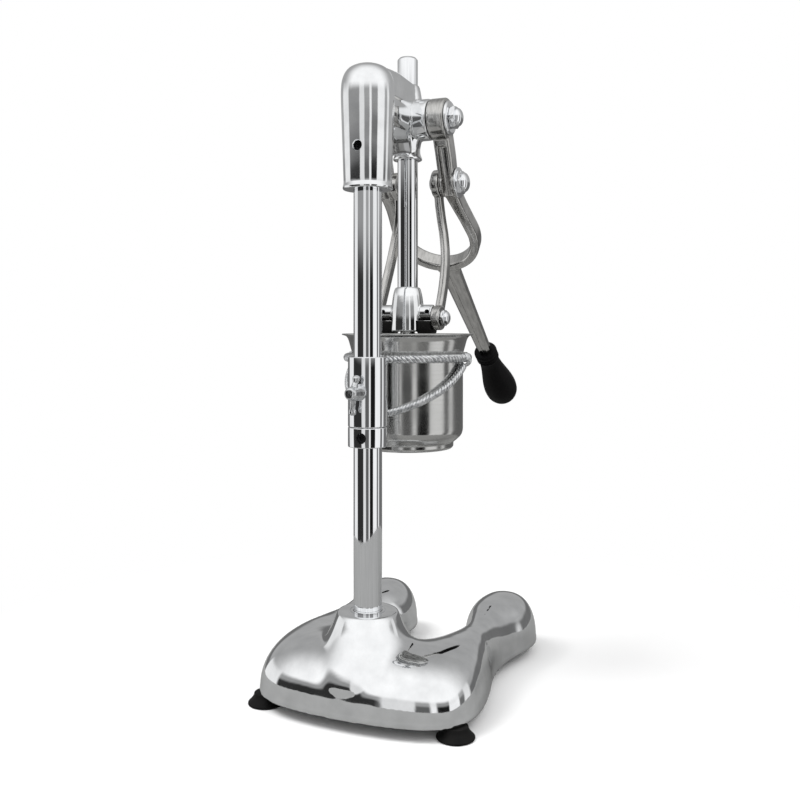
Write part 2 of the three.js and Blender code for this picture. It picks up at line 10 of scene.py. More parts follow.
import bmesh
import bpy
import numpy as np
from mathutils import Matrix, Vector


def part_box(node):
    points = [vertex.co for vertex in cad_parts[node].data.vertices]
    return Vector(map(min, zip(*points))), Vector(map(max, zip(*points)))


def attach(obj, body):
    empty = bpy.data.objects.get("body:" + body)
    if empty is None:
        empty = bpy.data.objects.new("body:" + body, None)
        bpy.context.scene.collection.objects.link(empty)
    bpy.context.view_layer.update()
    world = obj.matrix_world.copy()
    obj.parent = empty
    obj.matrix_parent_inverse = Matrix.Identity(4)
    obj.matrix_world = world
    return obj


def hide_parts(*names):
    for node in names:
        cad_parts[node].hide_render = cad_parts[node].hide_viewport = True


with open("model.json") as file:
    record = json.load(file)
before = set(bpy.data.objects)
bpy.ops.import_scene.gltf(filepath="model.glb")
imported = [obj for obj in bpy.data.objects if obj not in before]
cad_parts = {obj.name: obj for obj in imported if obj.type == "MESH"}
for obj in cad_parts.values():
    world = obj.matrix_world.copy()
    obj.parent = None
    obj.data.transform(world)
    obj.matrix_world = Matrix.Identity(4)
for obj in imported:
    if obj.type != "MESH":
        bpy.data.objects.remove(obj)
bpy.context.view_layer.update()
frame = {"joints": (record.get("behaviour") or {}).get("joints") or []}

# ---- Places and sizes, from the frame ----

MM = 0.001
rod_low, rod_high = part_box("plunger_rod")
ROD = Vector(((rod_low.x + rod_high.x) / 2, (rod_low.y + rod_high.y) / 2, 0))


def span(node):
    """Lowest and highest corner of a CAD node, in millimetres from the rod's axis."""
    low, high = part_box(node)
    return (low - ROD) / MM, (high - ROD) / MM


def middle(node):
    low, high = span(node)
    return (low + high) / 2


def joint(name):
    """A hinge's place, in millimetres from the rod's axis."""
    found = next(j for j in frame["joints"] if j["name"] == name)
    return (Vector(found["pos_m"]) - ROD) / MM


COLUMN = middle("column")
COLUMN_LOW, COLUMN_HIGH = span("column")
COLUMN_R = (COLUMN_HIGH.x - COLUMN_LOW.x) / 2
ROD_R = (rod_high.x - rod_low.x) / 2 / MM
BOSS_TOP = span("base_casting")[1].z
RIM_Z = span("base_casting")[0].z
SLEEVE_R = (span("stop_collar")[1].x - span("stop_collar")[0].x) / 2
PIVOT = joint("lever_swing")
LINK_TOP = joint("right_link_swing")
LINK_FOOT = middle("link_lower_bolt_right")
FORK_IN = span("pivot_bush_right")[0].x
FORK_OUT = span("pivot_bush_right")[1].x
GAP = 0.3

ALONG_X = Matrix.Rotation(math.pi / 2, 4, "Y")
ALONG_REAR = Matrix.Rotation(-math.pi / 2, 4, "X")


# ---- Shapes: lists of points and faces ----

def moved(shape, matrix):
    points, faces = shape
    return [matrix @ Vector(p) for p in points], faces


def shifted(shape, x=0.0, y=0.0, z=0.0):
    return moved(shape, Matrix.Translation((x, y, z)))


def merged(*shapes):
    points, faces = [], []
    for more_points, more_faces in shapes:
        start = len(points)
        points += list(more_points)
        faces += [[start + i for i in face] for face in more_faces]
    return points, faces


def rounded(profile, radius=0.5, steps=4):
    """A profile of (radius, height) with its corners eased; a third value is that corner's own easing."""
    corners = [Vector(p[:2]) for p in profile]
    closed = corners[0].x > 1e-6
    out = []
    for i, corner in enumerate(corners):
        if not closed and i in (0, len(corners) - 1):
            out.append(corner)
            continue
        before = corners[i - 1]
        after = corners[(i + 1) % len(corners)]
        own = profile[i][2] if len(profile[i]) > 2 else radius
        ease = min(own, 0.45 * (before - corner).length, 0.45 * (after - corner).length)
        start = corner + (before - corner).normalized() * ease
        end = corner + (after - corner).normalized() * ease
        for k in range(steps + 1):
            t = k / steps
            out.append(start * (1 - t) ** 2 + corner * 2 * t * (1 - t) + end * t * t)
    return out


def turned(profile, facets=96, outline=None):
    """A profile turned about Z. It starts and ends on the axis, or closes on itself.
    outline(angle, radius) may change the radius round the turn, as on a hexagon."""
    closed = profile[0][0] > 1e-6
    points, rows = [], []
    for r, z in profile:
        start = len(points)
        if r < 1e-6:
            points.append(Vector((0, 0, z)))
            rows.append([start] * facets)
            continue
        for i in range(facets):
            angle = 2 * math.pi * i / facets
            reach = outline(angle, r) if outline else r
            points.append(Vector((reach * math.cos(angle), reach * math.sin(angle), z)))
        rows.append(list(range(start, start + facets)))
    faces = []
    for low, high in zip(rows, rows[1:] + (rows[:1] if closed else [])):
        for i in range(facets):
            j = (i + 1) % facets
            corner = list(dict.fromkeys([low[i], low[j], high[j], high[i]]))
            if len(corner) > 2:
                faces.append(corner)
    return points, faces


def disc(r, z0, z1, ease=0.0, facets=96):
    return turned(rounded([(0, z0), (r, z0), (r, z1), (0, z1)], ease), facets)


def tube(inner, outer, z0, z1, ease=0.5, facets=96):
    return turned(rounded([(inner, z0), (outer, z0), (outer, z1), (inner, z1)], ease), facets)


def on_column(shape, z=0.0):
    return shifted(shape, COLUMN.x, COLUMN.y, z)


def rearward(shape):
    """A shape made along Z, laid along Y towards the rear."""
    return moved(shape, ALONG_REAR)


def sideways(shape, at):
    """A shape made along Z, laid along X through a point's y and z."""
    return shifted(moved(shape, ALONG_X), y=at.y, z=at.z)


def disc_x(r, x0, x1, at, ease=0.0, facets=96):
    return sideways(disc(r, x0, x1, ease, facets), at)


def hexagon(apothem, limit=1e9):
    """An outline that clips radii up to a limit to a hexagon."""
    def outline(angle, r):
        if r > limit:
            return r
        return min(r, apothem / math.cos((angle + math.pi / 6) % (math.pi / 3) - math.pi / 6))
    return outline


def loft(rings):
    """A closed skin over rings of equal length."""
    size = len(rings[0])
    points = [p for ring in rings for p in ring]
    faces = []
    for row in range(len(rings) - 1):
        for i in range(size):
            a, b = row * size + i, row * size + (i + 1) % size
            faces.append([a, b, b + size, a + size])
    faces.append(list(range(size))[::-1])
    faces.append(list(range(len(points) - size, len(points))))
    return points, faces


def box(low, high, ease, segments=3):
    """A block with eased edges."""
    mesh = bmesh.new()
    bmesh.ops.create_cube(mesh, size=1)
    low, high = Vector(low), Vector(high)
    for vertex in mesh.verts:
        vertex.co = (low + high) / 2 + vertex.co * (high - low)
    if ease:
        bmesh.ops.bevel(mesh, geom=mesh.edges[:], offset=ease, segments=segments, profile=0.5, affect="EDGES")
    mesh.verts.index_update()
    shape = [v.co.copy() for v in mesh.verts], [[v.index for v in f.verts] for f in mesh.faces]
    mesh.free()
    return shape


class Route:
    """A centripetal Catmull-Rom curve through points, as the CAD model uses."""

    def __init__(self, points):
        self.points = [Vector(p) for p in points]

    def at(self, u):
        points = self.points
        last = len(points) - 1
        place = min(max(u, 0.0), 1.0) * last
        i = min(int(place), last - 1)
        w = place - i
        p1, p2 = points[i], points[i + 1]
        p0 = points[i - 1] if i > 0 else p1 * 2 - p2
        p3 = points[i + 2] if i + 2 <= last else p2 * 2 - p1
        d0, d1, d2 = (math.sqrt((b - a).length) or 1.0 for a, b in ((p0, p1), (p1, p2), (p2, p3)))
        m1 = ((p1 - p0) / d0 - (p2 - p0) / (d0 + d1) + (p2 - p1) / d1) * d1
        m2 = ((p2 - p1) / d1 - (p3 - p1) / (d1 + d2) + (p3 - p2) / d2) * d1
        return p1 + m1 * w + (p2 * 3 - p1 * 3 - m1 * 2 - m2) * w * w + (p1 * 2 - p2 * 2 + m1 + m2) * w ** 3

    def way(self, u, step=1e-3):
        return (self.at(u + step) - self.at(u - step)).normalized()


def rounded_section(centre, across, along, width, depth, corner, steps=5):
    """A rectangle with round corners, width across by depth along, as a ring of points."""
    ring = []
    for quarter, (sx, sy) in enumerate([(1, 1), (-1, 1), (-1, -1), (1, -1)]):
        for k in range(steps + 1):
            angle = math.pi / 2 * (quarter + k / steps)
            a = sx * (width / 2 - corner) + corner * math.cos(angle)
            b = sy * (depth / 2 - corner) + corner * math.sin(angle)
            ring.append(centre + across * a + along * b)
    return ring


def strand(path, radius, sides=10, closed=False):
    """A round wire along points; its sides are counted from the direction away from the rod's axis."""
    rings = []
    last = len(path) - 1
    for i, centre in enumerate(path):
        before = path[i - 1] if i > 0 or closed else centre
        after = path[(i + 1) % len(path)] if i < last or closed else centre
        way = (after - before).normalized()
        out = Vector((centre.x, centre.y, 0))
        out = (out - way * out.dot(way)).normalized()
        side = way.cross(out)
        angles = [2 * math.pi * k / sides for k in range(sides)]
        rings.append([centre + (out * math.cos(a) + side * math.sin(a)) * radius for a in angles])
    if not closed:
        return loft(rings)
    points, faces = loft(rings + rings[:1])
    return points, faces[:-2]


def rope(centre_at, length, radius, pitch, closed=False, strands=4):
    """Twisted strands round a core. centre_at(u) gives the middle line for u from 0 to 1."""
    turns = max(1, round(length / pitch))
    steps = int(length / 1.3)
    thick = radius * 0.4
    shapes = []
    for k in range(strands + 1):
        path = []
        for i in range(steps if closed else steps + 1):
            u = i / steps
            centre = centre_at(u)
            way = (centre_at(u + 1e-3) - centre_at(u - 1e-3)).normalized()
            out = Vector((centre.x, centre.y, 0))
            out = (out - way * out.dot(way)).normalized()
            side = way.cross(out)
            angle = 2 * math.pi * (turns * u + k / strands)
            reach = (radius - thick) if k < strands else 0.0
            path.append(centre + (out * math.cos(angle) + side * math.sin(angle)) * reach)
        shapes.append(strand(path, thick if k < strands else radius * 0.42, closed=closed))
    return merged(*shapes)


# ---- Pieces from shapes ----

def piece(name, *shapes):
    """A mesh object of these shapes, in metres in the frame's axes, faces turned outward."""
    points, faces = merged(*shapes)
    data = bpy.data.meshes.new(name)
    data.from_pydata([ROD + Vector(p) * MM for p in points], [], faces)
    mesh = bmesh.new()
    mesh.from_mesh(data)
    bmesh.ops.remove_doubles(mesh, verts=mesh.verts[:], dist=1e-6)
    bmesh.ops.recalc_face_normals(mesh, faces=mesh.faces[:])
    mesh.to_mesh(data)
    mesh.free()
    obj = bpy.data.objects.new(name, data)
    bpy.context.scene.collection.objects.link(obj)
    return obj


def bake(obj):
    """Applies an object's modifiers."""
    graph = bpy.context.evaluated_depsgraph_get()
    data = bpy.data.meshes.new_from_object(obj.evaluated_get(graph))
    obj.modifiers.clear()
    obj.data = data
    return obj


def combine(obj, operation, *tools):
    """Cuts shapes or objects from a piece, or joins them to it."""
    for tool in tools:
        other = tool if isinstance(tool, bpy.types.Object) else piece("tool", tool)
        modifier = obj.modifiers.new("combine", "BOOLEAN")
        modifier.operation = operation
        modifier.solver = "MANIFOLD"
        modifier.object = other
        bake(obj)
        bpy.data.objects.remove(other)
    return obj


def cut(obj, *tools):
    return combine(obj, "DIFFERENCE", *tools)


def fuse(obj, voxel):
    """One skin over everything that overlaps in a piece, at a voxel size in millimetres."""
    modifier = obj.modifiers.new("fuse", "REMESH")
    modifier.mode = "VOXEL"
    modifier.voxel_size = voxel * MM
    return bake(obj)


def places(obj):
    """An object's points in millimetres from the rod's axis, as an array."""
    co = np.empty(len(obj.data.vertices) * 3)
    obj.data.vertices.foreach_get("co", co)
    return (co.reshape(-1, 3) - np.array(ROD)) / MM


def set_places(obj, co):
    obj.data.vertices.foreach_set("co", (co * MM + np.array(ROD)).ravel())
    obj.data.update()


def smooth(obj, rounds, weight=0.5):
    """Draws each point towards its neighbours' mean, by a weight for all or one for each."""
    co = places(obj)
    size = len(co)
    ends = np.empty(len(obj.data.edges) * 2, dtype=np.int64)
    obj.data.edges.foreach_get("vertices", ends)
    a, b = ends.reshape(-1, 2).T
    count = np.bincount(a, minlength=size) + np.bincount(b, minlength=size)
    share = np.broadcast_to(np.asarray(weight, float), (size,))[:, None]
    for _ in range(rounds):
        total = [np.bincount(a, co[b, k], size) + np.bincount(b, co[a, k], size) for k in range(3)]
        co += (np.stack(total, 1) / count[:, None] - co) * share
    set_places(obj, co)
    return obj


def ramp(values, start, end):
    """0 before start, 1 after end, and smooth between, for an array."""
    t = np.clip((values - start) / (end - start), 0, 1)
    return t * t * (3 - 2 * t)


def settle(obj, profile, axis, fade, tolerance=0.5):
    """Draws points that lie close to a turned surface onto it, less so over a fade at its two ends.
    axis(points) gives the distance from the turned surface's axis, the height along it, and a function
    that puts new distances back."""
    co = places(obj)
    radius, height, put = axis(co)
    r, z = np.array([p[0] for p in profile]), np.array([p[1] for p in profile])
    target = np.interp(height, z, r)
    inside = ramp(height, z[0], z[0] + fade) * (1 - ramp(height, z[-1] - fade, z[-1]))
    share = (1 - ramp(np.abs(radius - target), tolerance * 0.5, tolerance)) * inside
    put(co, radius + (target - radius) * share)
    set_places(obj, co)


def around(x, y):
    """Axis for settle(): a vertical line."""
    def axis(co):
        away = co[:, :2] - np.array([x, y])
        radius = np.hypot(away[:, 0], away[:, 1])

        def put(points, new_radius):
            points[:, :2] = np.array([x, y]) + away * (new_radius / np.maximum(radius, 1e-6))[:, None]
        return radius, co[:, 2].copy(), put
    return axis


def along_x(y, z):
    """Axis for settle(): a line along X."""
    def axis(co):
        away = co[:, 1:] - np.array([y, z])
        radius = np.hypot(away[:, 0], away[:, 1])

        def put(points, new_radius):
            points[:, 1:] = np.array([y, z]) + away * (new_radius / np.maximum(radius, 1e-6))[:, None]
        return radius, np.abs(co[:, 0]), put
    return axis


def mirror_of(obj, name):
    """The left-hand copy of a right-hand piece."""
    data = obj.data.copy()
    data.transform(Matrix.Scale(-1, 4, (1, 0, 0)))
    data.flip_normals()
    copy = bpy.data.objects.new(name, data)
    bpy.context.scene.collection.objects.link(copy)
    return copy


def show(obj, body, material, *nodes, sharp=35):
    """Gives a piece its finish and sets it on a body in place of CAD nodes, by default its namesake."""
    obj.data.materials.clear()
    obj.data.materials.append(material)
    obj.data.shade_smooth()
    obj.data.set_sharp_from_angle(angle=math.radians(sharp))
    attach(obj, body)
    names = nodes or (obj.name.removesuffix("_look"),)
    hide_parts(*names)


def show_both(right, stem, body, material, sharp=35):
    """The same for a right-hand piece and its mirror image; body may hold {side}."""
    left = mirror_of(right, stem + "_left_look")
    show(right, body.format(side="right"), material, stem + "_right", sharp=sharp)
    show(left, body.format(side="left"), material, stem + "_left", sharp=sharp)


def show_new(name, body, material, shape):
    show(piece(name + "_look", shape), body, material)


def show_both_new(stem, body, material, right_shape):
    show_both(piece(stem + "_right_look", right_shape), stem, body, material)


# ---- Materials ----

def add_node(tree, kind, inputs, **settings):
    """A node with its settings, and inputs given as values or as other nodes' outputs."""
    node = tree.nodes.new("ShaderNode" + kind)
    for name, value in settings.items():
        setattr(node, name, value)
    for key, value in inputs.items():
        if isinstance(value, bpy.types.NodeSocket):
            tree.links.new(value, node.inputs[key])
        else:
            node.inputs[key].default_value = value
    return node


def add_ramp(tree, value, stops):
    """Colour along a ramp of (position, colour)."""
    node = add_node(tree, "ValToRGB", {"Fac": value})
    elements = node.color_ramp.elements
    while len(elements) < len(stops):
        elements.new(0.5)
    for element, (position, tint) in zip(elements, stops):
        element.position = position
        element.color = (*tint, 1)
    return node.outputs["Color"]


class Finish:
    """A node-based material, built socket by socket."""

    def __init__(self, name, slot, metallic):
        self.material = bpy.data.materials.new(name)
        self.material.use_nodes = True
        self.material["slot"] = slot
        self.tree = self.material.node_tree
        self.shader = self.tree.nodes["Principled BSDF"]
        self.shader.inputs["Metallic"].default_value = metallic
        self.place = self.tree.nodes.new("ShaderNodeTexCoord").outputs["Object"]

    def link(self, output, name):
        self.tree.links.new(output, self.shader.inputs[name])

    def noise(self, scale, detail=2.0, stretch=(1, 1, 1), rough=0.5, warp=0.0):
        """Noise over the object, scale in waves per metre, stretched along the axes."""
        mapping = add_node(self.tree, "Mapping", {"Scale": stretch, "Vector": self.place})
        return add_node(self.tree, "TexNoise", {
            "Scale": scale, "Detail": detail, "Roughness": rough, "Distortion": warp,
            "Vector": mapping.outputs["Vector"],
        }).outputs["Fac"]

    def colour(self, value, *stops):
        self.link(add_ramp(self.tree, value, stops), "Base Color")

    def rough(self, value, low, high):
        """Roughness from low to high over a noise's usual range."""
        spread = add_node(self.tree, "MapRange", {
            "Value": value, "From Min": 0.3, "From Max": 0.7, "To Min": low, "To Max": high,
        })
        self.link(spread.outputs["Result"], "Roughness")

    def bump(self, *heights):
        """Bumps of (value, depth in millimetres), one over the other."""
        below = {}
        for value, depth in heights:
            inputs = {"Height": value, "Strength": 1.0, "Distance": depth * MM, **below}
            normal = add_node(self.tree, "Bump", inputs).outputs["Normal"]
            below = {"Normal": normal}
        self.link(normal, "Normal")


def chrome_casting():
    """Chromed casting: mirror bright, with the slow waves of hand polishing and a few dull patches."""
    finish = Finish("chromed_casting", "chrome_casting", 1.0)
    waves = finish.noise(22, detail=1.5)
    haze = finish.noise(60, detail=4)
    finish.colour(haze, (0.3, (0.80, 0.81, 0.82)), (0.7, (0.93, 0.94, 0.95)))
    finish.rough(haze, 0.025, 0.085)
    finish.bump((waves, 0.5), (finish.noise(900, detail=2), 0.004))
    return finish.material


def chrome_tube():
    """Plated tube and turned parts: mirror chrome with faint lengthwise grinding lines and specks."""
    finish = Finish("mirror_chrome", "chrome_tube", 1.0)
    lines = finish.noise(90, detail=3, stretch=(9, 9, 0.25))
    specks = finish.noise(420, detail=2)
    finish.colour(lines, (0.3, (0.82, 0.83, 0.845)), (0.7, (0.93, 0.94, 0.955)))
    finish.rough(specks, 0.02, 0.06)
    finish.bump((lines, 0.004), (specks, 0.001))
    return finish.material


def bright_rope():
    """Bright plated castings and twisted bars: softly uneven."""
    finish = Finish("bright_plated", "bright_rope", 1.0)
    grain = finish.noise(260, detail=4, warp=0.4)
    finish.colour(grain, (0.25, (0.42, 0.43, 0.44)), (0.5, (0.68, 0.69, 0.70)), (0.75, (0.88, 0.89, 0.90)))
    finish.rough(grain, 0.08, 0.24)
    finish.bump((grain, 0.12), (finish.noise(1400, detail=2), 0.01))
    return finish.material


def cast_aluminium():
    """Polished aluminium casting: warm grey, with belt-polishing streaks and small pits."""
    finish = Finish("polished_aluminium", "cast_aluminium", 1.0)
    belts = finish.noise(60, detail=5, stretch=(6, 1, 1), rough=0.6, warp=0.3)
    pits = finish.noise(1100, detail=2)
    tints = (0.28, (0.40, 0.395, 0.385)), (0.52, (0.55, 0.545, 0.53)), (0.75, (0.68, 0.67, 0.655))
    finish.colour(belts, *tints)
    finish.rough(belts, 0.08, 0.19)
    finish.bump((belts, 0.05), (pits, 0.008))
    return finish.material


def stainless():
    """Brushed stainless: fine lines round the barrel's axis."""
    finish = Finish("brushed_stainless", "stainless", 1.0)
    brush = finish.noise(16, detail=5, stretch=(1.2, 1.2, 260), rough=0.6)
    patches = finish.noise(30, detail=3)
    finish.colour(brush, (0.3, (0.50, 0.50, 0.49)), (0.7, (0.60, 0.60, 0.59)))
    finish.rough(patches, 0.11, 0.2)
    finish.shader.inputs["Anisotropic"].default_value = 0.45
    finish.bump((brush, 0.004))
    return finish.material


def zinc_steel():
    """Zinc plated fasteners: dull bright, cloudy."""
    finish = Finish("zinc_plate", "zinc_steel", 1.0)
    clouds = finish.noise(180, detail=4)
    finish.colour(clouds, (0.3, (0.46, 0.47, 0.49)), (0.7, (0.68, 0.69, 0.71)))
    finish.rough(clouds, 0.25, 0.42)
    finish.bump((finish.noise(1500, detail=2), 0.01))
    return finish.material


def black_oxide():
    """Black oxide set screws: dark, faintly mottled with oil."""
    finish = Finish("black_oxide", "black_steel", 0.0)
    mottle = finish.noise(500, detail=3)
    finish.colour(mottle, (0.3, (0.004, 0.004, 0.005)), (0.7, (0.016, 0.016, 0.018)))
    finish.rough(mottle, 0.4, 0.6)
    finish.shader.inputs["Specular IOR Level"].default_value = 0.15
    finish.bump((mottle, 0.01))
    return finish.material


def bush_bronze():
    """Turned bearing bronze."""
    finish = Finish("bearing_bronze", "bush_bronze", 1.0)
    lines = finish.noise(200, detail=4, stretch=(6, 1, 1))
    finish.colour(lines, (0.3, (0.50, 0.32, 0.15)), (0.7, (0.72, 0.52, 0.28)))
    finish.rough(lines, 0.25, 0.4)
    finish.bump((lines, 0.01))
    return finish.material


def moulding(name, slot, wear, tints, roughness, specular, grain):
    """Black moulded skin, worn paler in places; wear and grain are (scale, detail)."""
    finish = Finish(name, slot, 0.0)
    worn = finish.noise(wear[0], detail=wear[1])
    finish.colour(worn, (0.35, tints[0]), (0.75, tints[1]))
    finish.rough(worn, *roughness)
    finish.shader.inputs["Specular IOR Level"].default_value = specular
    finish.bump((finish.noise(grain[0], detail=grain[1]), 0.02))
    return finish.material


CASTING = chrome_casting()
CHROME = chrome_tube()
PLATED = bright_rope()
ALUMINIUM = cast_aluminium()
STAINLESS = stainless()
ZINC = zinc_steel()
BLACK_STEEL = black_oxide()
BRONZE = bush_bronze()
RUBBER = moulding(
    "moulded_rubber", "foot_rubber", (70, 4), [(0.0025, 0.0025, 0.0025), (0.009, 0.0085, 0.008)],
    (0.45, 0.68), 0.16, (2200, 3),
)
GRIP = moulding(
    "moulded_grip", "grip_black", (55, 3), [(0.0015, 0.0015, 0.002), (0.005, 0.0045, 0.0045)],
    (0.36, 0.54), 0.09, (1200, 2),
)


# ---- Base ----

# Right half of the rim from the rear middle to the front lobe's tip, from the column's axis:
# outer edge with the crest height, and inner edge.
OUTER = Route([
    (0, 60, 72), (45, 57, 71), (80, 49, 69), (102, 34, 67), (112, 10, 66), (113, -18, 65), (108, -54, 63),
    (100, -92, 62), (98, -128, 64), (103, -162, 67), (111, -194, 68), (111, -222, 66), (103, -244, 57),
    (90, -257, 40), (80, -261, 25),
])
INNER = Route([
    (0, -55, 0), (10, -56, 0), (19, -60, 0), (28, -69, 0), (37, -82, 0), (44, -98, 0), (49, -115, 0),
    (51, -135, 0), (46, -156, 0), (39, -177, 0), (35, -200, 0), (38, -224, 0), (47, -244, 0), (60, -257, 0),
    (70, -261, 0),
])
RIM_BAND = 5
RIM_STEP = 0.6
CROWN_POWER = 0.88  # below 1 squares up the rounded section


def base_section(u, side, wall, step, crown_steps):
    """One crowned section, drawn in by the wall; the crown starts a step inside the rim's upright band."""
    outer, inner = OUTER.at(u), INNER.at(u)
    centre = (outer + inner) / 2
    reach = (outer - centre) * Vector((1, 1, 0))
    reach *= (reach.length - wall) / reach.length
    drawn = max(0.0, 1 - step / reach.length)

    def point(across, z):
        return Vector((side * (centre.x + reach.x * across), COLUMN.y + centre.y + reach.y * across, z))

    shoulder = RIM_Z + RIM_BAND
    floor = 0 if wall else RIM_Z
    ring = [point(1, floor), point(1, shoulder)]
    for i in range(crown_steps + 1):
        turn = math.pi * i / crown_steps
        across = math.copysign(abs(math.cos(turn)) ** CROWN_POWER, math.cos(turn)) * drawn
        ring.append(point(across, shoulder + (outer.z - wall - shoulder) * math.sin(turn) ** CROWN_POWER))
    ring += [point(-1, shoulder), point(-1, floor)]
    return ring


def base_body(wall, tip, step, half_stations, crown_steps):
    rings = []
    for i in range(-half_stations, half_stations + 1):
        side = 1 if i < 0 else -1
        rings.append(base_section(abs(i) / half_stations * tip, side, wall, step, crown_steps))
    return loft(rings)


def add_base():
    skirt = Route([(58, 40), (52, 56), (44, 69), (37.5, 80), (33, 90), (30.6, 95.4), (29.2, BOSS_TOP)])
    boss_profile = [(0, 30), (56, 30)] + [tuple(skirt.at(i / 30)) for i in range(31)] + [(0, BOSS_TOP)]
    wall = 7
    boss = on_column(turned(boss_profile))
    base = piece("base_casting_look", base_body(0, 1, RIM_STEP, 80, 56), boss)
    fuse(base, 1.2)
    smooth(base, 6)
    co = places(base)
    away = np.hypot(co[:, 0] - COLUMN.x, co[:, 1] - COLUMN.y)
    foot_of_boss = ramp(away, 33, 40) * (1 - ramp(away, 62, 82)) * ramp(co[:, 2], 36, 48)
    smooth(base, 90, 0.5 * foot_of_boss)
    smooth(base, 14, 0.5 * ramp(co[:, 2], 19, 30) * (1 - ramp(co[:, 2], 86, 92)))
    post_r = 27
    post = on_column(disc(post_r, -5, 120))
    hollow = piece("hollow", base_body(wall, 0.95, 0, 40, 24))
    feet = [middle("foot_" + corner) for corner in ("rear_left", "rear_right", "front_left", "front_right")]
    cut(hollow, post, *[shifted(disc(7.5, -5, 70, facets=48), foot.x, foot.y) for foot in feet])
    bore = COLUMN_R + GAP
    ring_groove = tube(bore + 2.6, bore + 3.4, BOSS_TOP - 0.8, BOSS_TOP + 1, 0.2)
    cut(
        base, hollow,
        on_column(disc(bore, COLUMN_LOW.z - GAP, 120)),
        on_column(disc(5.6, -5, 60, facets=48)),
        on_column(ring_groove),
        *[shifted(disc(2.5, -5, 29, facets=32), foot.x, foot.y) for foot in feet],
    )
    show(base, "frame", CASTING, "base_casting", sharp=38)

    foot_r = (span("foot_rear_left")[1].x - span("foot_rear_left")[0].x) / 2
    foot_shape = turned(rounded([
        (2.5, 4), (6.5, 4), (6.5, 0, 0.8), (foot_r - 4.5, 0), (foot_r - 3.5, 0.5), (foot_r - 1, 0, 0.4),
        (foot_r, 0.6, 0.8), (foot_r, 1.9, 1), (15.7, 4.1, 3), (12.7, 7.4, 3), (11.7, 11.4, 0.4),
        (2.5, 11.7, 0.2),
    ]))
    screw_shape = turned(rounded([
        (0, 0.8), (4.6, 0.8, 0.6), (5.6, 1.8), (5.6, 3.7, 0.3), (2.2, 3.7), (2.2, 25.6), (0, 27.8),
    ]), 48)
    recess = box((-0.6, -3.4, 0), (0.6, 3.4, 2.2), 0.15, 1)
    cross = box((-3.4, -0.6, 0), (3.4, 0.6, 2.2), 0.15, 1)
    for corner in ("rear_left", "rear_right", "front_left", "front_right"):
        foot = middle("foot_" + corner)
        show_new(f"foot_{corner}", "frame", RUBBER, shifted(foot_shape, foot.x, foot.y))
        screw = piece(f"foot_screw_{corner}_look", shifted(screw_shape, foot.x, foot.y))
        cut(screw, shifted(recess, foot.x, foot.y), shifted(cross, foot.x, foot.y))
        show(screw, "frame", ZINC)


# ---- Column, collar and carrier ----

def add_column():
    wall = 2.8
    column = tube(COLUMN_R - wall, COLUMN_R, COLUMN_LOW.z, COLUMN_HIGH.z, 0.5, 128)
    show_new("column", "frame", CHROME, on_column(column))
    low, high = span("column_washer")
    washer = tube(5.6, high.x, low.z, high.z)
    show_new("column_washer", "frame", ZINC, on_column(washer))
    low, high = span("column_bolt")
    head = turned(rounded([
        (0, low.z), (8.6, low.z, 0.4), (9.9, low.z + 1.2), (9.9, low.z + 6.8), (0, low.z + 6.8),
    ], 0.3), 96, hexagon(8.5))
    bolt = piece("column_bolt_look", on_column(head))
    combine(bolt, "UNION", on_column(disc(5, low.z + 6, high.z, 0.8, 48)))
    show(bolt, "frame", ZINC)
    low, high = span("column_plug")
    plug = tube(5.3, high.x, low.z, high.z, 0.6, 64)
    show_new("column_plug", "frame", ZINC, on_column(plug))


def ring_on_column(name, z0, z1, hole_r, hole_z, turn=0.0):
    """A bored ring on the column with eased rims and a radial hole to the rear, and the hole's place."""
    lip = 0.9
    bore = COLUMN_R + GAP
    profile = rounded([(bore, z0, 0.3), (SLEEVE_R, z0, lip), (SLEEVE_R, z1, lip), (bore, z1, 0.3)], lip, 3)
    ring = piece(name, on_column(turned(profile, 128)))
    hole = rearward(disc(hole_r, COLUMN_R - 2, SLEEVE_R + 6, facets=48))
    mouth = rearward(turned([
        (0, SLEEVE_R - 1.4), (hole_r - 0.1, SLEEVE_R - 1.4), (hole_r + 1.4, SLEEVE_R + 1.3),
        (0, SLEEVE_R + 1.3),
    ], 48))
    place = Matrix.Translation((COLUMN.x, COLUMN.y, hole_z)) @ Matrix.Rotation(turn, 4, "Z")
    return cut(ring, moved(hole, place), moved(mouth, place)), place


def socket_screw(r, inner, outer):
    """A set screw along Z with a hexagonal socket in its outer end."""
    socket_r = r * 0.62
    profile = [(0, inner), (r - 0.6, inner), (r, inner + 0.6), (r, outer - 0.5), (r - 0.5, outer),
               (socket_r, outer), (socket_r * 0.999, outer - 2.6), (0, outer - 3.2)]
    return turned(profile, 48, hexagon(socket_r * 0.866, socket_r))


def add_collar():
    low, high = span("stop_collar")
    turn = math.radians(5)
    collar, place = ring_on_column("stop_collar_look", low.z, high.z, 4.6, (low.z + high.z) / 2, turn)
    show(collar, "collar", CHROME, "stop_collar")
    screw = moved(rearward(socket_screw(4.3, COLUMN_R + GAP, 17.2)), place)
    show_new("collar_set_screw", "collar", BLACK_STEEL, screw)


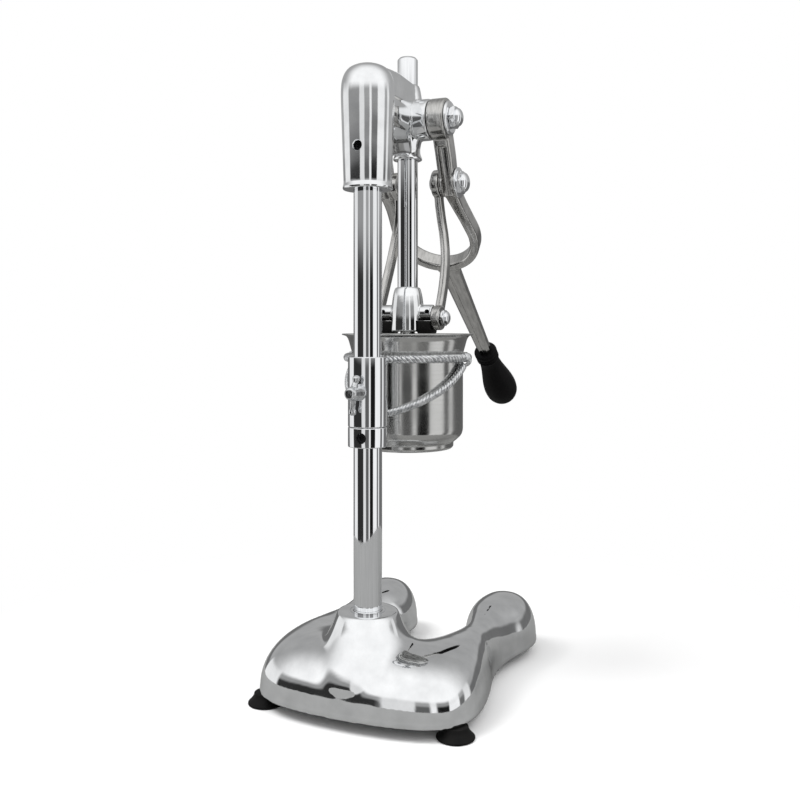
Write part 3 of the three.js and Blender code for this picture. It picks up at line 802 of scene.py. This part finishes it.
def add_carrier():
    low, high = span("carrier_sleeve")
    screw_z = joint("clamp_screw_turn").z
    sleeve, _ = ring_on_column("carrier_sleeve_look", low.z, high.z, 4.3, screw_z)
    arm = box((-7, low.y, 282), (7, COLUMN.y - COLUMN_R - 1.5, 345), 1.6, 4)
    combine(sleeve, "UNION", arm)
    show(sleeve, "carrier", CHROME, "carrier_sleeve")

    ring_low, ring_high = span("carrier_ring")
    rope_r = (ring_high.z - ring_low.z) / 2
    ring_r = ring_high.x - rope_r
    ring_z = (ring_low.z + ring_high.z) / 2

    def ring_at(u):
        angle = 2 * math.pi * u
        return Vector((ring_r * math.sin(angle), ring_r * math.cos(angle), ring_z))

    ring = piece("carrier_ring_look", rope(ring_at, 2 * math.pi * ring_r, rope_r + 0.4, 18, closed=True))
    show(ring, "carrier", PLATED, "carrier_ring", sharp=60)

    brace_r = 3.8
    foot_z = 287
    highest = ring_z - rope_r - brace_r - GAP
    reach = span("carrier_brace_right")[1].x - brace_r
    first, last = 0.06, math.radians(88)

    def brace_at(u):
        angle = first + (last - first) * u
        z = foot_z + (highest - foot_z) * (0.5 * u + 0.5 * u * abs(u))
        return Vector((reach * math.sin(angle), reach * math.cos(angle), z))

    def tie_at(u):
        """A wire wound round the place where brace and ring meet."""
        turn = 2 * math.pi * 3 * u
        angle = math.radians(86 + 9 * u)
        out = ring_r + 5.0 * math.cos(turn)
        return Vector((out * math.sin(angle), out * math.cos(angle), ring_z - 1.6 + 6.4 * math.sin(turn)))

    length = 116
    brace = piece(
        "carrier_brace_right_look",
        rope(brace_at, length, brace_r + 0.3, 17),
        strand([tie_at(i / 90) for i in range(91)], 1.5),
    )
    show_both(brace, "carrier_brace", "carrier", PLATED, sharp=60)


def add_wing_screw():
    """Conical hub with a round face, and two short wings with ball ends."""
    axis_z = joint("clamp_screw_turn").z
    hub = rearward(turned(rounded([
        (0, 20.2), (8, 20.2, 0.6), (8.1, 23.6, 1), (6.8, 32, 2), (6.2, 39.4, 1.2), (4.8, 41.2, 0.8),
        (0, 41.7),
    ]), 64))
    wings = []
    for lean, tip in ((math.radians(12), 17.5), (math.pi - math.radians(12), 22)):
        wing = turned(rounded([(0, 0), (4.6, 0, 0.1), (3.0, 8, 3), (2.7, tip - 6.5, 1), (3.8, tip - 4, 1.6),
                               (3.6, tip - 1.3, 1.6), (1.4, tip, 1), (0, tip)]), 48)
        wings.append(shifted(moved(wing, Matrix.Rotation(lean, 4, "X")), y=33))
    screw = piece("wing_screw_look", hub, *wings)
    fuse(screw, 0.45)
    smooth(screw, 5)
    combine(screw, "UNION", rearward(disc(4, COLUMN_R + GAP, 24, 0.4, 48)))
    tilt = Matrix.Translation((COLUMN.x, COLUMN.y, axis_z)) @ Matrix.Rotation(math.radians(-8), 4, "Y")
    to_frame = Matrix.Translation(ROD) @ Matrix.Scale(MM, 4)
    screw.data.transform(to_frame @ tilt @ to_frame.inverted())
    show(screw, "clamp_screw", PLATED, "wing_screw")


def add_barrel():
    low, high = span("barrel")
    floor, rim, rim_r = low.z, high.z, high.x
    r = 59.7
    inside = r - 2.2
    profile = rounded([
        (41, floor, 0.8), (47.3, floor, 2), (49.3, floor + 2.2, 1.2), (49.6, floor + 7.2, 1.4),
        (52, floor + 8.8, 2.4), (57.8, floor + 14, 3), (r, floor + 19.5, 5), (r, 346.6, 2),
        (r + 1.1, 349.8, 2),
        (64, 361.5, 4), (66.2, 365.4, 2.2), (rim_r - 0.4, rim - 1.4, 0.5), (rim_r, rim - 0.7, 0.5),
        (rim_r - 0.6, rim, 0.5), (65.4, rim - 0.1, 2.5), (62.6, 363, 3), (inside + 1.5, 351.5, 2),
        (inside, 349, 2), (inside, floor + 19, 3), (48.6, floor + 9.2, 2.4), (47.6, floor + 7.2, 1),
        (47.6, floor + 4, 0.4), (41, floor + 4, 0.4),
    ], 0.5, 5)
    barrel = piece("barrel_look", turned(profile, 160))
    show(barrel, "carrier", STAINLESS, "barrel")

    low, high = span("strainer_plate")
    plate = piece("strainer_plate_look", disc(high.x, low.z, high.z, 0.4))
    holes = []
    for count, radius in ((1, 0), (6, 15), (12, 30)):
        for i in range(count):
            angle = 2 * math.pi * i / count
            hole = disc(3, 240, 260, facets=24)
            holes.append(shifted(hole, radius * math.cos(angle), radius * math.sin(angle)))
    cut(plate, merged(*holes))
    show(plate, "carrier", STAINLESS, "strainer_plate")


# ---- Head ----

def prism_yz(outline, half, ease):
    """A shape in the y-z plane, given depth along X, with eased edges."""
    mesh = bmesh.new()
    ring = [mesh.verts.new((-half, y, z)) for y, z in outline]
    face = mesh.faces.new(ring)
    extruded = bmesh.ops.extrude_face_region(mesh, geom=[face])["geom"]
    far_side = [g for g in extruded if isinstance(g, bmesh.types.BMVert)]
    bmesh.ops.translate(mesh, vec=(2 * half, 0, 0), verts=far_side)
    rims = [e for e in mesh.edges if abs(e.verts[0].co.x - e.verts[1].co.x) < 1e-6]
    bmesh.ops.bevel(mesh, geom=rims, offset=ease, segments=4, profile=0.5, affect="EDGES")
    mesh.verts.index_update()
    shape = [v.co.copy() for v in mesh.verts], [[v.index for v in f.verts] for f in mesh.faces]
    mesh.free()
    return shape


def add_head():
    foot = span("head_casting")[0].z
    socket = rounded([
        (0, foot), (24.6, foot, 1), (25.0, foot + 2.4, 1.2), (23.7, foot + 5.2, 1.6), (26.5, 603, 12),
        (26, 614, 5), (23.6, 622, 4), (19, 628, 4), (10, 632, 4), (0, 632.8),
    ], 1, 8)
    web = prism_yz([
        (COLUMN.y, 533), (78, 540), (60, 549), (30, 556), (0, 560), (0, 632), (COLUMN.y, 630),
    ], 8.4, 3)
    crest = prism_yz([(COLUMN.y, 606), (8, 606), (8, 635), (50, 637), (COLUMN.y, 632)], 12.5, 4)
    narrow = Matrix.Scale(0.6, 4, (1, 0, 0))
    arm = moved(disc(21.5, 0, COLUMN.y), Matrix.Translation((0, 0, PIVOT.z)) @ narrow @ ALONG_REAR)
    boss_r = 22
    boss_half = 28
    cross_boss = disc_x(boss_r, -boss_half, boss_half, PIVOT, 1.2)
    guide = turned(rounded([
        (0, 554.4), (15.8, 554.4, 0.6), (16, 556.4, 0.8), (13.8, 561, 4), (13.5, 567, 4), (15.6, 577, 6),
        (15.6, 620, 4), (14.4, 628, 3), (12.9, 634.5, 2), (11.6, 636, 0.6), (0, 636),
    ], 1, 6))
    head = piece("head_casting_look", on_column(turned(socket, 128)), web, crest, arm, cross_boss,
                 guide)
    fuse(head, 0.75)
    smooth(head, 12)
    settle(head, [(23.7, 515), (26.5, 602)], around(COLUMN.x, COLUMN.y), 14)
    settle(head, [(boss_r, 12), (boss_r, boss_half - 2.5)], along_x(PIVOT.y, PIVOT.z), 3)
    seams = [disc_x(boss_r + 0.9, side * 13 - 0.8, side * 13 + 0.8, PIVOT, 0.35) for side in (-1, 1)]
    combine(head, "UNION", *seams)
    hole_z = middle("head_set_screw").z
    hole = rearward(disc(4.4, COLUMN_R - 2, 40, facets=48))
    mouth = rearward(turned([(0, 23.4), (4.3, 23.4), (6.4, 25.9), (6.4, 30), (0, 30)], 48))
    stud_hole_start = 12.6
    cut(
        head,
        on_column(disc(COLUMN_R + GAP, 500, COLUMN_HIGH.z + GAP)),
        disc(ROD_R + GAP, 540, 650),
        on_column(hole, hole_z),
        on_column(mouth, hole_z),
        disc_x(6.3, stud_hole_start, 40, PIVOT, facets=48),
        disc_x(6.3, -40, -stud_hole_start, PIVOT, facets=48),
    )
    show(head, "frame", CASTING, "head_casting", sharp=40)
    screw_end = span("head_set_screw")[1].y - COLUMN.y
    screw = rearward(socket_screw(4.1, COLUMN_R + GAP, screw_end))
    show_new("head_set_screw", "frame", BLACK_STEEL, on_column(screw, hole_z))


def dome_nut(apothem, bore, face, blind, top, flange=0.0):
    """A domed nut along Z: eased hexagon, dome and a blind bore; it may have a flange."""
    corner = apothem / math.cos(math.pi / 6)
    shoulder = face + 0.5 * (top - face)
    crown = apothem - 1.2
    start = [(bore, blind), (bore, face, 0.3)]
    base = [(flange, face, 0.4), (flange, face + 1.8, 0.8)] if flange else [(corner - 1.2, face, 0.3)]
    rise = top - shoulder
    body = [(corner - 0.4, face + 2.4, 0.6), (corner, face + 3.2, 0.6), (corner, shoulder - 1.8, 0.6),
            (corner - 1.6, shoulder - 0.2, 0.6), (crown, shoulder, 0.8)]
    dome = [(crown * math.cos(a), shoulder + 0.4 + (rise - 0.4) * math.sin(a))
            for a in (math.radians(d) for d in range(8, 90, 9))]
    profile = [(0, blind)] + [tuple(p) for p in rounded(start + base + body, 0.5, 3)] + dome + [(0, top)]
    return turned(profile, 96, hexagon(apothem, corner + 0.01))


def add_pivot():
    """Studs, washers and cap nuts of the lever's main pivot."""
    bore, face = 6.3, FORK_OUT + GAP
    washer = turned(rounded([
        (bore, face, 0.3), (18.2, face, 0.5), (18.2, face + 1.7, 1.2), (16.4, face + 3.1, 1),
        (bore, face + 3.1, 0.3),
    ]), 96)
    show_both_new("pivot_washer", "frame", CHROME, sideways(washer, PIVOT))
    low, high = span("pivot_nut_right")
    nut = dome_nut(11, bore, low.x, high.x - 4.7, high.x)
    show_both_new("pivot_nut", "frame", CHROME, sideways(nut, PIVOT))
    low, high = span("pivot_stud_right")
    stud = disc_x(6, low.x, high.x, PIVOT, 0.8, 48)
    show_both_new("pivot_stud", "frame", ZINC, stud)
    bush = tube(bore, 9.5, FORK_IN, FORK_OUT, 0.3, 64)
    show_both_new("pivot_bush", "lever", BRONZE, sideways(bush, PIVOT))


# ---- Lever ----

CRANK_REST = math.atan2(-LINK_TOP.y, PIVOT.z - LINK_TOP.z)
FORK_SLOPE = math.radians(40)
HANDLE_SLOPE = math.radians(36.3)
BEND_R = 46
BEND_START = 79
HANDLE_BAR = 183


def on_slope(x, along):
    """A point on the plane of the fork's bend: x, and the distance down it from the link pivot."""
    return Vector((x, LINK_TOP.y - along * math.cos(FORK_SLOPE), LINK_TOP.z - along * math.sin(FORK_SLOPE)))


def fork_path():
    arm_x = (FORK_IN + FORK_OUT) / 2
    half = [
        Vector((arm_x, 0, PIVOT.z)), Vector((arm_x, LINK_TOP.y / 2, (PIVOT.z + LINK_TOP.z) / 2)),
        Vector((arm_x, LINK_TOP.y, LINK_TOP.z)), on_slope(arm_x + 2, 28), on_slope(arm_x + 6, 56),
    ]
    for bend in (0, 22.5, 45, 67.5, 90):
        angle = math.radians(bend)
        half.append(on_slope(BEND_R * math.cos(angle), BEND_START + BEND_R * math.sin(angle)))
    return Route(half + [Vector((-p.x, p.y, p.z)) for p in half[-2::-1]])


def fork_body():
    path = fork_path()
    steps = 200
    rings = []
    for i in range(steps + 1):
        centre, way = path.at(i / steps), path.way(i / steps)
        down = float(ramp(np.array(PIVOT.z - centre.z), 40, 100))
        lift = CRANK_REST + (math.pi / 2 - FORK_SLOPE - CRANK_REST) * down
        along = Vector((0, -math.cos(lift), math.sin(lift)))
        along = (along - way * along.dot(way)).normalized()
        across = along.cross(way)
        width = (FORK_OUT - FORK_IN) * (1 - down) + 11 * down
        rings.append(rounded_section(centre, across, along, width, 20, 3.2))
    return loft(rings)


HANDLE_WAY = Vector((0, -math.cos(HANDLE_SLOPE), -math.sin(HANDLE_SLOPE)))
HANDLE_UP = Vector((1, 0, 0)).cross(HANDLE_WAY)


def on_handle(along):
    return on_slope(0, BEND_START + BEND_R) + HANDLE_WAY * along


def bar_section(at, width, depth, chamfer, seam):
    """An octagon with eased corners and a thin raised parting line down its two broad faces."""
    w, d = width / 2, depth / 2
    line = 0.55
    corners = [
        (w, chamfer - d), (w, d - chamfer), (w - chamfer, d), (line, d), (0.3, d + seam), (-0.3, d + seam),
        (-line, d), (chamfer - w, d), (-w, d - chamfer), (-w, chamfer - d), (chamfer - w, -d), (-line, -d),
        (-0.3, -d - seam), (0.3, -d - seam), (line, -d), (w - chamfer, -d),
    ]
    return [on_handle(at) + Vector((1, 0, 0)) * a - HANDLE_UP * b for a, b in corners]


def handle_bar():
    stops = [(-3, 30, 18, 5), (4, 30, 18, 5), (7, 29.4, 17.8, 5), (14, 24.6, 17.1, 4.6), (18, 24, 17, 4.5),
             (40, 23, 16.5, 4.5), (HANDLE_BAR, 17, 13.5, 3.5)]
    return loft([bar_section(at, width, depth, chamfer, 0.8) for at, width, depth, chamfer in stops])


def along_handle(shape):
    """A shape turned about Z from 0 upward, laid down the handle from the grip's end of the bar."""
    lean = Matrix.Rotation(math.pi / 2 + HANDLE_SLOPE, 4, "X")
    return moved(shape, Matrix.Translation(on_handle(HANDLE_BAR)) @ lean)


def add_lever():
    shapes = [fork_body()]
    for side in (-1, 1):
        ends = sorted((side * FORK_IN, side * FORK_OUT))
        shapes.append(disc_x(21.5, *ends, PIVOT, 1.5))
        shapes.append(disc_x(14.5, *ends, LINK_TOP, 1.2))
    yoke = piece("lever_yoke_look", *shapes)
    fuse(yoke, 0.8)
    grooves = []
    for side in (-1, 1):
        centre = side * (FORK_IN + FORK_OUT) / 2
        groove = box((centre - 4.6, 6, -90), (centre + 4.6, 24, -27), 2, 3)
        turn = Matrix.Translation((0, PIVOT.y, PIVOT.z)) @ Matrix.Rotation(-CRANK_REST, 4, "X")
        grooves.append(moved(groove, turn))
    cut(yoke, *grooves)
    fuse(yoke, 0.7)
    smooth(yoke, 7)
    spigot = along_handle(disc(6, -6, 60, 0.6, 48))
    combine(yoke, "UNION", handle_bar(), spigot)
    cut(yoke, disc_x(9.8, -60, 60, PIVOT, facets=64), disc_x(4.8, -60, 60, LINK_TOP, facets=48))
    show(yoke, "lever", ALUMINIUM, "lever_yoke", sharp=32)

    add_grip()


def add_grip():
    """Black bulb with a ridged collar at its neck."""
    outside = rounded([
        (0, 0.3), (13.2, 0.3, 0.8), (15.4, 1.8, 1.2), (15.5, 6, 1.2), (13.3, 8, 1), (15.7, 10.4, 1.2),
        (13.4, 13, 1), (15.7, 15.4, 1.2), (13.7, 18.6, 2), (13.7, 28, 5), (15.5, 42, 7), (18.6, 58, 7),
        (21.5, 74, 7), (22.9, 88, 7), (21.8, 101, 6), (17.6, 110, 5), (11, 115.6, 4), (4, 117.5, 2),
        (0, 117.6),
    ], 1, 6)
    grip = piece("handle_grip_look", along_handle(turned(outside, 128)))
    cut(grip, along_handle(disc(6.3, -5, 61, facets=48)))
    show(grip, "lever", GRIP, "handle_grip")


# ---- Links ----

def add_links():
    bow = Route([
        (24, LINK_TOP.y, LINK_TOP.z), (24, -34.2, 512), (25.6, -36, 495), (29, -35.3, 475),
        (32.3, -30.5, 450), (34.5, -18.5, 420), (35.4, LINK_FOOT.y, LINK_FOOT.z),
    ])
    steps = 90
    rings = []
    for i in range(steps + 1):
        way = bow.way(i / steps)
        across = (Vector((1, 0, 0)) - way * way.x).normalized()
        rings.append(rounded_section(bow.at(i / steps), across, way.cross(across), 8, 13, 2.6))
    link = piece(
        "link_right_look", loft(rings),
        disc_x(15.4, 19.8, 28.2, LINK_TOP, 1.2), disc_x(13, 31, 39.8, LINK_FOOT, 1.2),
    )
    fuse(link, 0.55)
    smooth(link, 8)
    cut(link, disc_x(4.8, 10, 60, LINK_TOP, facets=48), disc_x(4.8, 10, 60, LINK_FOOT, facets=48))
    show_both(link, "link", "{side}_link", ALUMINIUM)

    low, high = span("link_upper_bolt_right")
    bolt = turned(rounded([
        (0, low.x), (7, low.x, 0.8), (8, low.x + 1.2, 0.8), (8, low.x + 3.5, 0.3), (4.5, low.x + 3.5, 0.2),
        (4.5, high.x, 0.5), (0, high.x),
    ]), 64)
    bolt = piece("link_upper_bolt_right_look", sideways(bolt, LINK_TOP))
    show_both(bolt, "link_upper_bolt", "lever", ZINC)
    low, high = span("link_upper_nut_right")
    nut = dome_nut(12, 4.8, low.x, high.x - 4.7, high.x, flange=16.8)
    nut = piece("link_upper_nut_right_look", sideways(nut, LINK_TOP))
    show_both(nut, "link_upper_nut", "lever", CHROME)
    low, high = span("link_lower_bolt_right")
    head = dome_nut(8.5, 2, 40.1, 41, high.x)
    lower = piece("link_lower_bolt_right_look", sideways(head, LINK_FOOT))
    combine(lower, "UNION", disc_x(4.5, low.x, 43, LINK_FOOT, 0.5, 48))
    show_both(lower, "link_lower_bolt", "{side}_link", CHROME)


# ---- Plunger ----

def add_plunger():
    low, high = span("plunger_rod")
    rod = turned(rounded([(0, low.z), (ROD_R, low.z), (ROD_R, high.z - 2.6, 0.8), (ROD_R - 2.4, high.z, 0.8),
                          (0, high.z)]), 128)
    show_new("plunger_rod", "plunger", CHROME, rod)

    foot, top = span("crosshead")[0].z, span("crosshead")[1].z
    lug_z = 390.4
    lug_end = span("crosshead")[1].x
    lug = Vector((0, 0, lug_z))
    hub = turned(rounded([
        (0, foot), (18.8, foot, 0.8), (18.6, 384, 6), (17.1, 400, 6), (15.6, 410.5, 3), (13.9, 416.4, 2),
        (12.4, top, 0.8), (0, top),
    ], 1, 6))
    lugs = [disc_x(8.7, *sorted((side * 8, side * lug_end)), lug, 1.4) for side in (-1, 1)]
    crosshead = piece("crosshead_look", hub, *lugs)
    fuse(crosshead, 0.5)
    smooth(crosshead, 9)
    screw_hole = rearward(disc(2.6, 3, 12, facets=32))
    cut(
        crosshead,
        disc(ROD_R + GAP, low.z - GAP, 430),
        disc(8.3, 360, 384),
        *[shifted(screw_hole, side * 25.5, 0, lug_z + 1) for side in (-1, 1)],
        box((14, -12, 360), (40, 12, 382), 0),
        box((-40, -12, 360), (-14, 12, 382), 0),
    )
    show(crosshead, "plunger", CASTING, "crosshead", sharp=40)
    for name in ("left", "right"):
        screw_low, screw_high = span("crosshead_set_screw_" + name)
        at = (screw_low + screw_high) / 2
        screw = shifted(rearward(socket_screw(2.3, screw_low.y, screw_high.y)), at.x, 0, at.z)
        show_new(f"crosshead_set_screw_{name}", "plunger", BLACK_STEEL, screw)
    pad_low, pad_high = span("bumper_right")
    show_both_new("bumper", "plunger", RUBBER, box(pad_low, pad_high, 1.8, 4))
    add_piston()


def add_piston():
    low, high = span("piston_stem")
    stem = turned(rounded([(0, low.z), (5, low.z), (6, low.z + 1), (6, 276.3, 0.2), (8, 276.3), (8, high.z),
                           (0, high.z)], 0.3), 64)
    show_new("piston_stem", "plunger", STAINLESS, stem)
    low, high = span("piston_disc")
    r = high.x
    groove = r - 3
    disc_shape = turned(rounded([
        (6.3, low.z), (r, low.z, 0.8), (r, 267.4, 0.2), (groove, 267.4, 0.2), (groove, 272, 0.2),
        (r, 272, 0.2), (r, 274.3, 1), (14, high.z, 6), (6.3, high.z),
    ], 0.3), 128)
    show_new("piston_disc", "plunger", STAINLESS, disc_shape)
    low, high = span("piston_seal")
    seal = turned(rounded([(groove + GAP, low.z), (high.x, low.z, 1.2), (high.x, high.z, 1.2),
                           (groove + GAP, high.z)], 0.5), 128)
    show_new("piston_seal", "plunger", RUBBER, seal)
    low, high = span("piston_nut")
    nut = turned(rounded([
        (6.3, low.z), (10.2, low.z), (10.97, low.z + 0.9), (10.97, high.z - 0.9), (10.2, high.z),
        (6.3, high.z),
    ], 0.3), 96, hexagon(9.5))
    show_new("piston_nut", "plunger", STAINLESS, nut)


# ---- Studio ----

VIEW_WAY = Vector((math.sin(math.radians(23)), -math.cos(math.radians(23)), 0))
VIEW_RIGHT = VIEW_WAY.cross(Vector((0, 0, 1)))
CAMERA_AWAY = 0.9956
CAMERA_SIDE = 0.0083
CAMERA_HEIGHT = 0.374


def add_camera():
    data = bpy.data.cameras.new("camera")
    data.sensor_width = 36
    data.lens = 41.4
    data.shift_y = -0.09
    camera = bpy.data.objects.new("camera", data)
    bpy.context.scene.collection.objects.link(camera)
    camera.location = ROD - VIEW_WAY * CAMERA_AWAY - VIEW_RIGHT * CAMERA_SIDE + Vector((0, 0, CAMERA_HEIGHT))
    camera.rotation_euler = VIEW_WAY.to_track_quat("-Z", "Y").to_euler()
    bpy.context.scene.camera = camera


# Studio cards seen from the object: degrees from the camera's side, to the right, and brightness.
CARDS = [
    (-180, 0.16), (-128, 0.9), (-88, 0.03), (-34, 0.8), (-13, 0.12), (9, 0.95), (18, 0.01), (45, 0.98),
    (79, 0.15), (93, 0.85), (106, 0.16), (180, 0.16),
]
CARD_EDGE = 3.0
PALER_FROM = (0.09, 0.19)  # sines of the heights over which the cards turn paler
CEILING_FROM = (0.225, 0.36)  # and over which they give way to the ceiling
CEILING_FRONT, CEILING_REAR = 0.38, 1.05


def add_surroundings():
    """A studio of upright cards near the horizon under a bright ceiling; seen directly it is white."""
    world = bpy.data.worlds.new("studio")
    bpy.context.scene.world = world
    world.use_nodes = True
    tree = world.node_tree
    tree.nodes.clear()

    def combined(operation, *values):
        return add_node(tree, "Math", dict(enumerate(values)), operation=operation).outputs[0]

    def dot(direction):
        inputs = {0: way, 1: direction}
        return add_node(tree, "VectorMath", inputs, operation="DOT_PRODUCT").outputs["Value"]

    def eased(value, start, end):
        inputs = {"Value": value, "From Min": start, "From Max": end}
        return add_node(tree, "MapRange", inputs, interpolation_type="SMOOTHSTEP").outputs["Result"]

    def mixed(share, first, second):
        """first where share is 0, second where it is 1."""
        kept = combined("MULTIPLY", first, combined("SUBTRACT", 1.0, share))
        return combined("ADD", kept, combined("MULTIPLY", second, share))

    way = tree.nodes.new("ShaderNodeTexCoord").outputs["Generated"]
    turn = combined("ARCTAN2", dot(VIEW_RIGHT), dot(-VIEW_WAY))
    stops = []
    for (start, brightness), (end, _) in zip(CARDS, CARDS[1:]):
        for edge in (start + CARD_EDGE / 2, end - CARD_EDGE / 2):
            stops.append((edge / 360 + 0.5, [brightness] * 3))
    low_cards = add_ramp(tree, combined("MULTIPLY_ADD", turn, 0.5 / math.pi, 0.5), stops)
    paler = combined("MULTIPLY_ADD", low_cards, 0.62, 0.3)
    height = dot(Vector((0, 0, 1)))
    cards = mixed(eased(height, *PALER_FROM), low_cards, paler)
    ceiling = mixed(eased(dot(-VIEW_WAY), -0.6, 0.4), CEILING_FRONT, CEILING_REAR)
    sky = mixed(eased(height, *CEILING_FROM), cards, ceiling)
    background = add_node(tree, "Background", {"Color": sky})
    seen = add_node(tree, "Background", {"Color": (1, 1, 1, 1)})
    camera_ray = tree.nodes.new("ShaderNodeLightPath").outputs["Is Camera Ray"]
    mix = add_node(tree, "MixShader", {"Fac": camera_ray, 1: background.outputs[0], 2: seen.outputs[0]})
    add_node(tree, "OutputWorld", {"Surface": mix.outputs[0]})


FLOOR_R = 0.65


def add_floor():
    """A round pale floor, white at its rim; polished metal sees it greyer than the camera does."""
    mesh = bmesh.new()
    bmesh.ops.create_circle(mesh, cap_ends=True, radius=FLOOR_R, segments=96)
    data = bpy.data.meshes.new("floor")
    mesh.to_mesh(data)
    mesh.free()
    floor = bpy.data.objects.new("floor", data)
    floor.location = (ROD.x, ROD.y, -0.0002)
    bpy.context.scene.collection.objects.link(floor)
    material = bpy.data.materials.new("floor_paint")
    material.use_nodes = True
    tree = material.node_tree
    shader = tree.nodes["Principled BSDF"]
    shader.inputs["Roughness"].default_value = 0.8
    shader.inputs["Specular IOR Level"].default_value = 0.1
    camera_ray = tree.nodes.new("ShaderNodeLightPath").outputs["Is Camera Ray"]
    tint = add_node(tree, "Mix", {
        "A": (0.28, 0.28, 0.276, 1), "B": (0.93, 0.93, 0.93, 1), "Factor": camera_ray,
    }, data_type="RGBA")
    tree.links.new(tint.outputs["Result"], shader.inputs["Base Color"])
    place = tree.nodes.new("ShaderNodeTexCoord").outputs["Object"]
    distance = add_node(tree, "VectorMath", {0: place}, operation="LENGTH").outputs["Value"]
    fade = add_node(tree, "MapRange", {
        "Value": distance, "From Min": 0.3 * FLOOR_R, "From Max": 0.9 * FLOOR_R,
    }, interpolation_type="SMOOTHSTEP").outputs["Result"]
    seen = add_node(tree, "Math", {0: fade, 1: camera_ray}, operation="MULTIPLY").outputs[0]
    white = add_node(tree, "Emission", {}).outputs[0]
    mix = add_node(tree, "MixShader", {"Fac": seen, 1: shader.outputs[0], 2: white})
    tree.links.new(mix.outputs[0], tree.nodes["Material Output"].inputs["Surface"])
    data.materials.append(material)


def add_light(name, place, size, power):
    data = bpy.data.lights.new(name, "AREA")
    data.shape = "DISK"
    data.size = size
    data.energy = power
    light = bpy.data.objects.new(name, data)
    light.location = place
    light.visible_glossy = False
    light.rotation_euler = (Vector((0, ROD.y, 0.2)) - Vector(place)).to_track_quat("-Z", "Y").to_euler()
    bpy.context.scene.collection.objects.link(light)


add_camera()
add_surroundings()
add_floor()
add_light("key", (1.4, 1.2, 2.6), 1.6, 60)
add_light("fill", (-1.8, 0.6, 2.2), 2.0, 25)
bpy.context.scene.view_settings.view_transform = "Standard"

add_base()
add_column()
add_collar()
add_carrier()
add_wing_screw()
add_barrel()
add_head()
add_pivot()
add_lever()
add_links()
add_plunger()
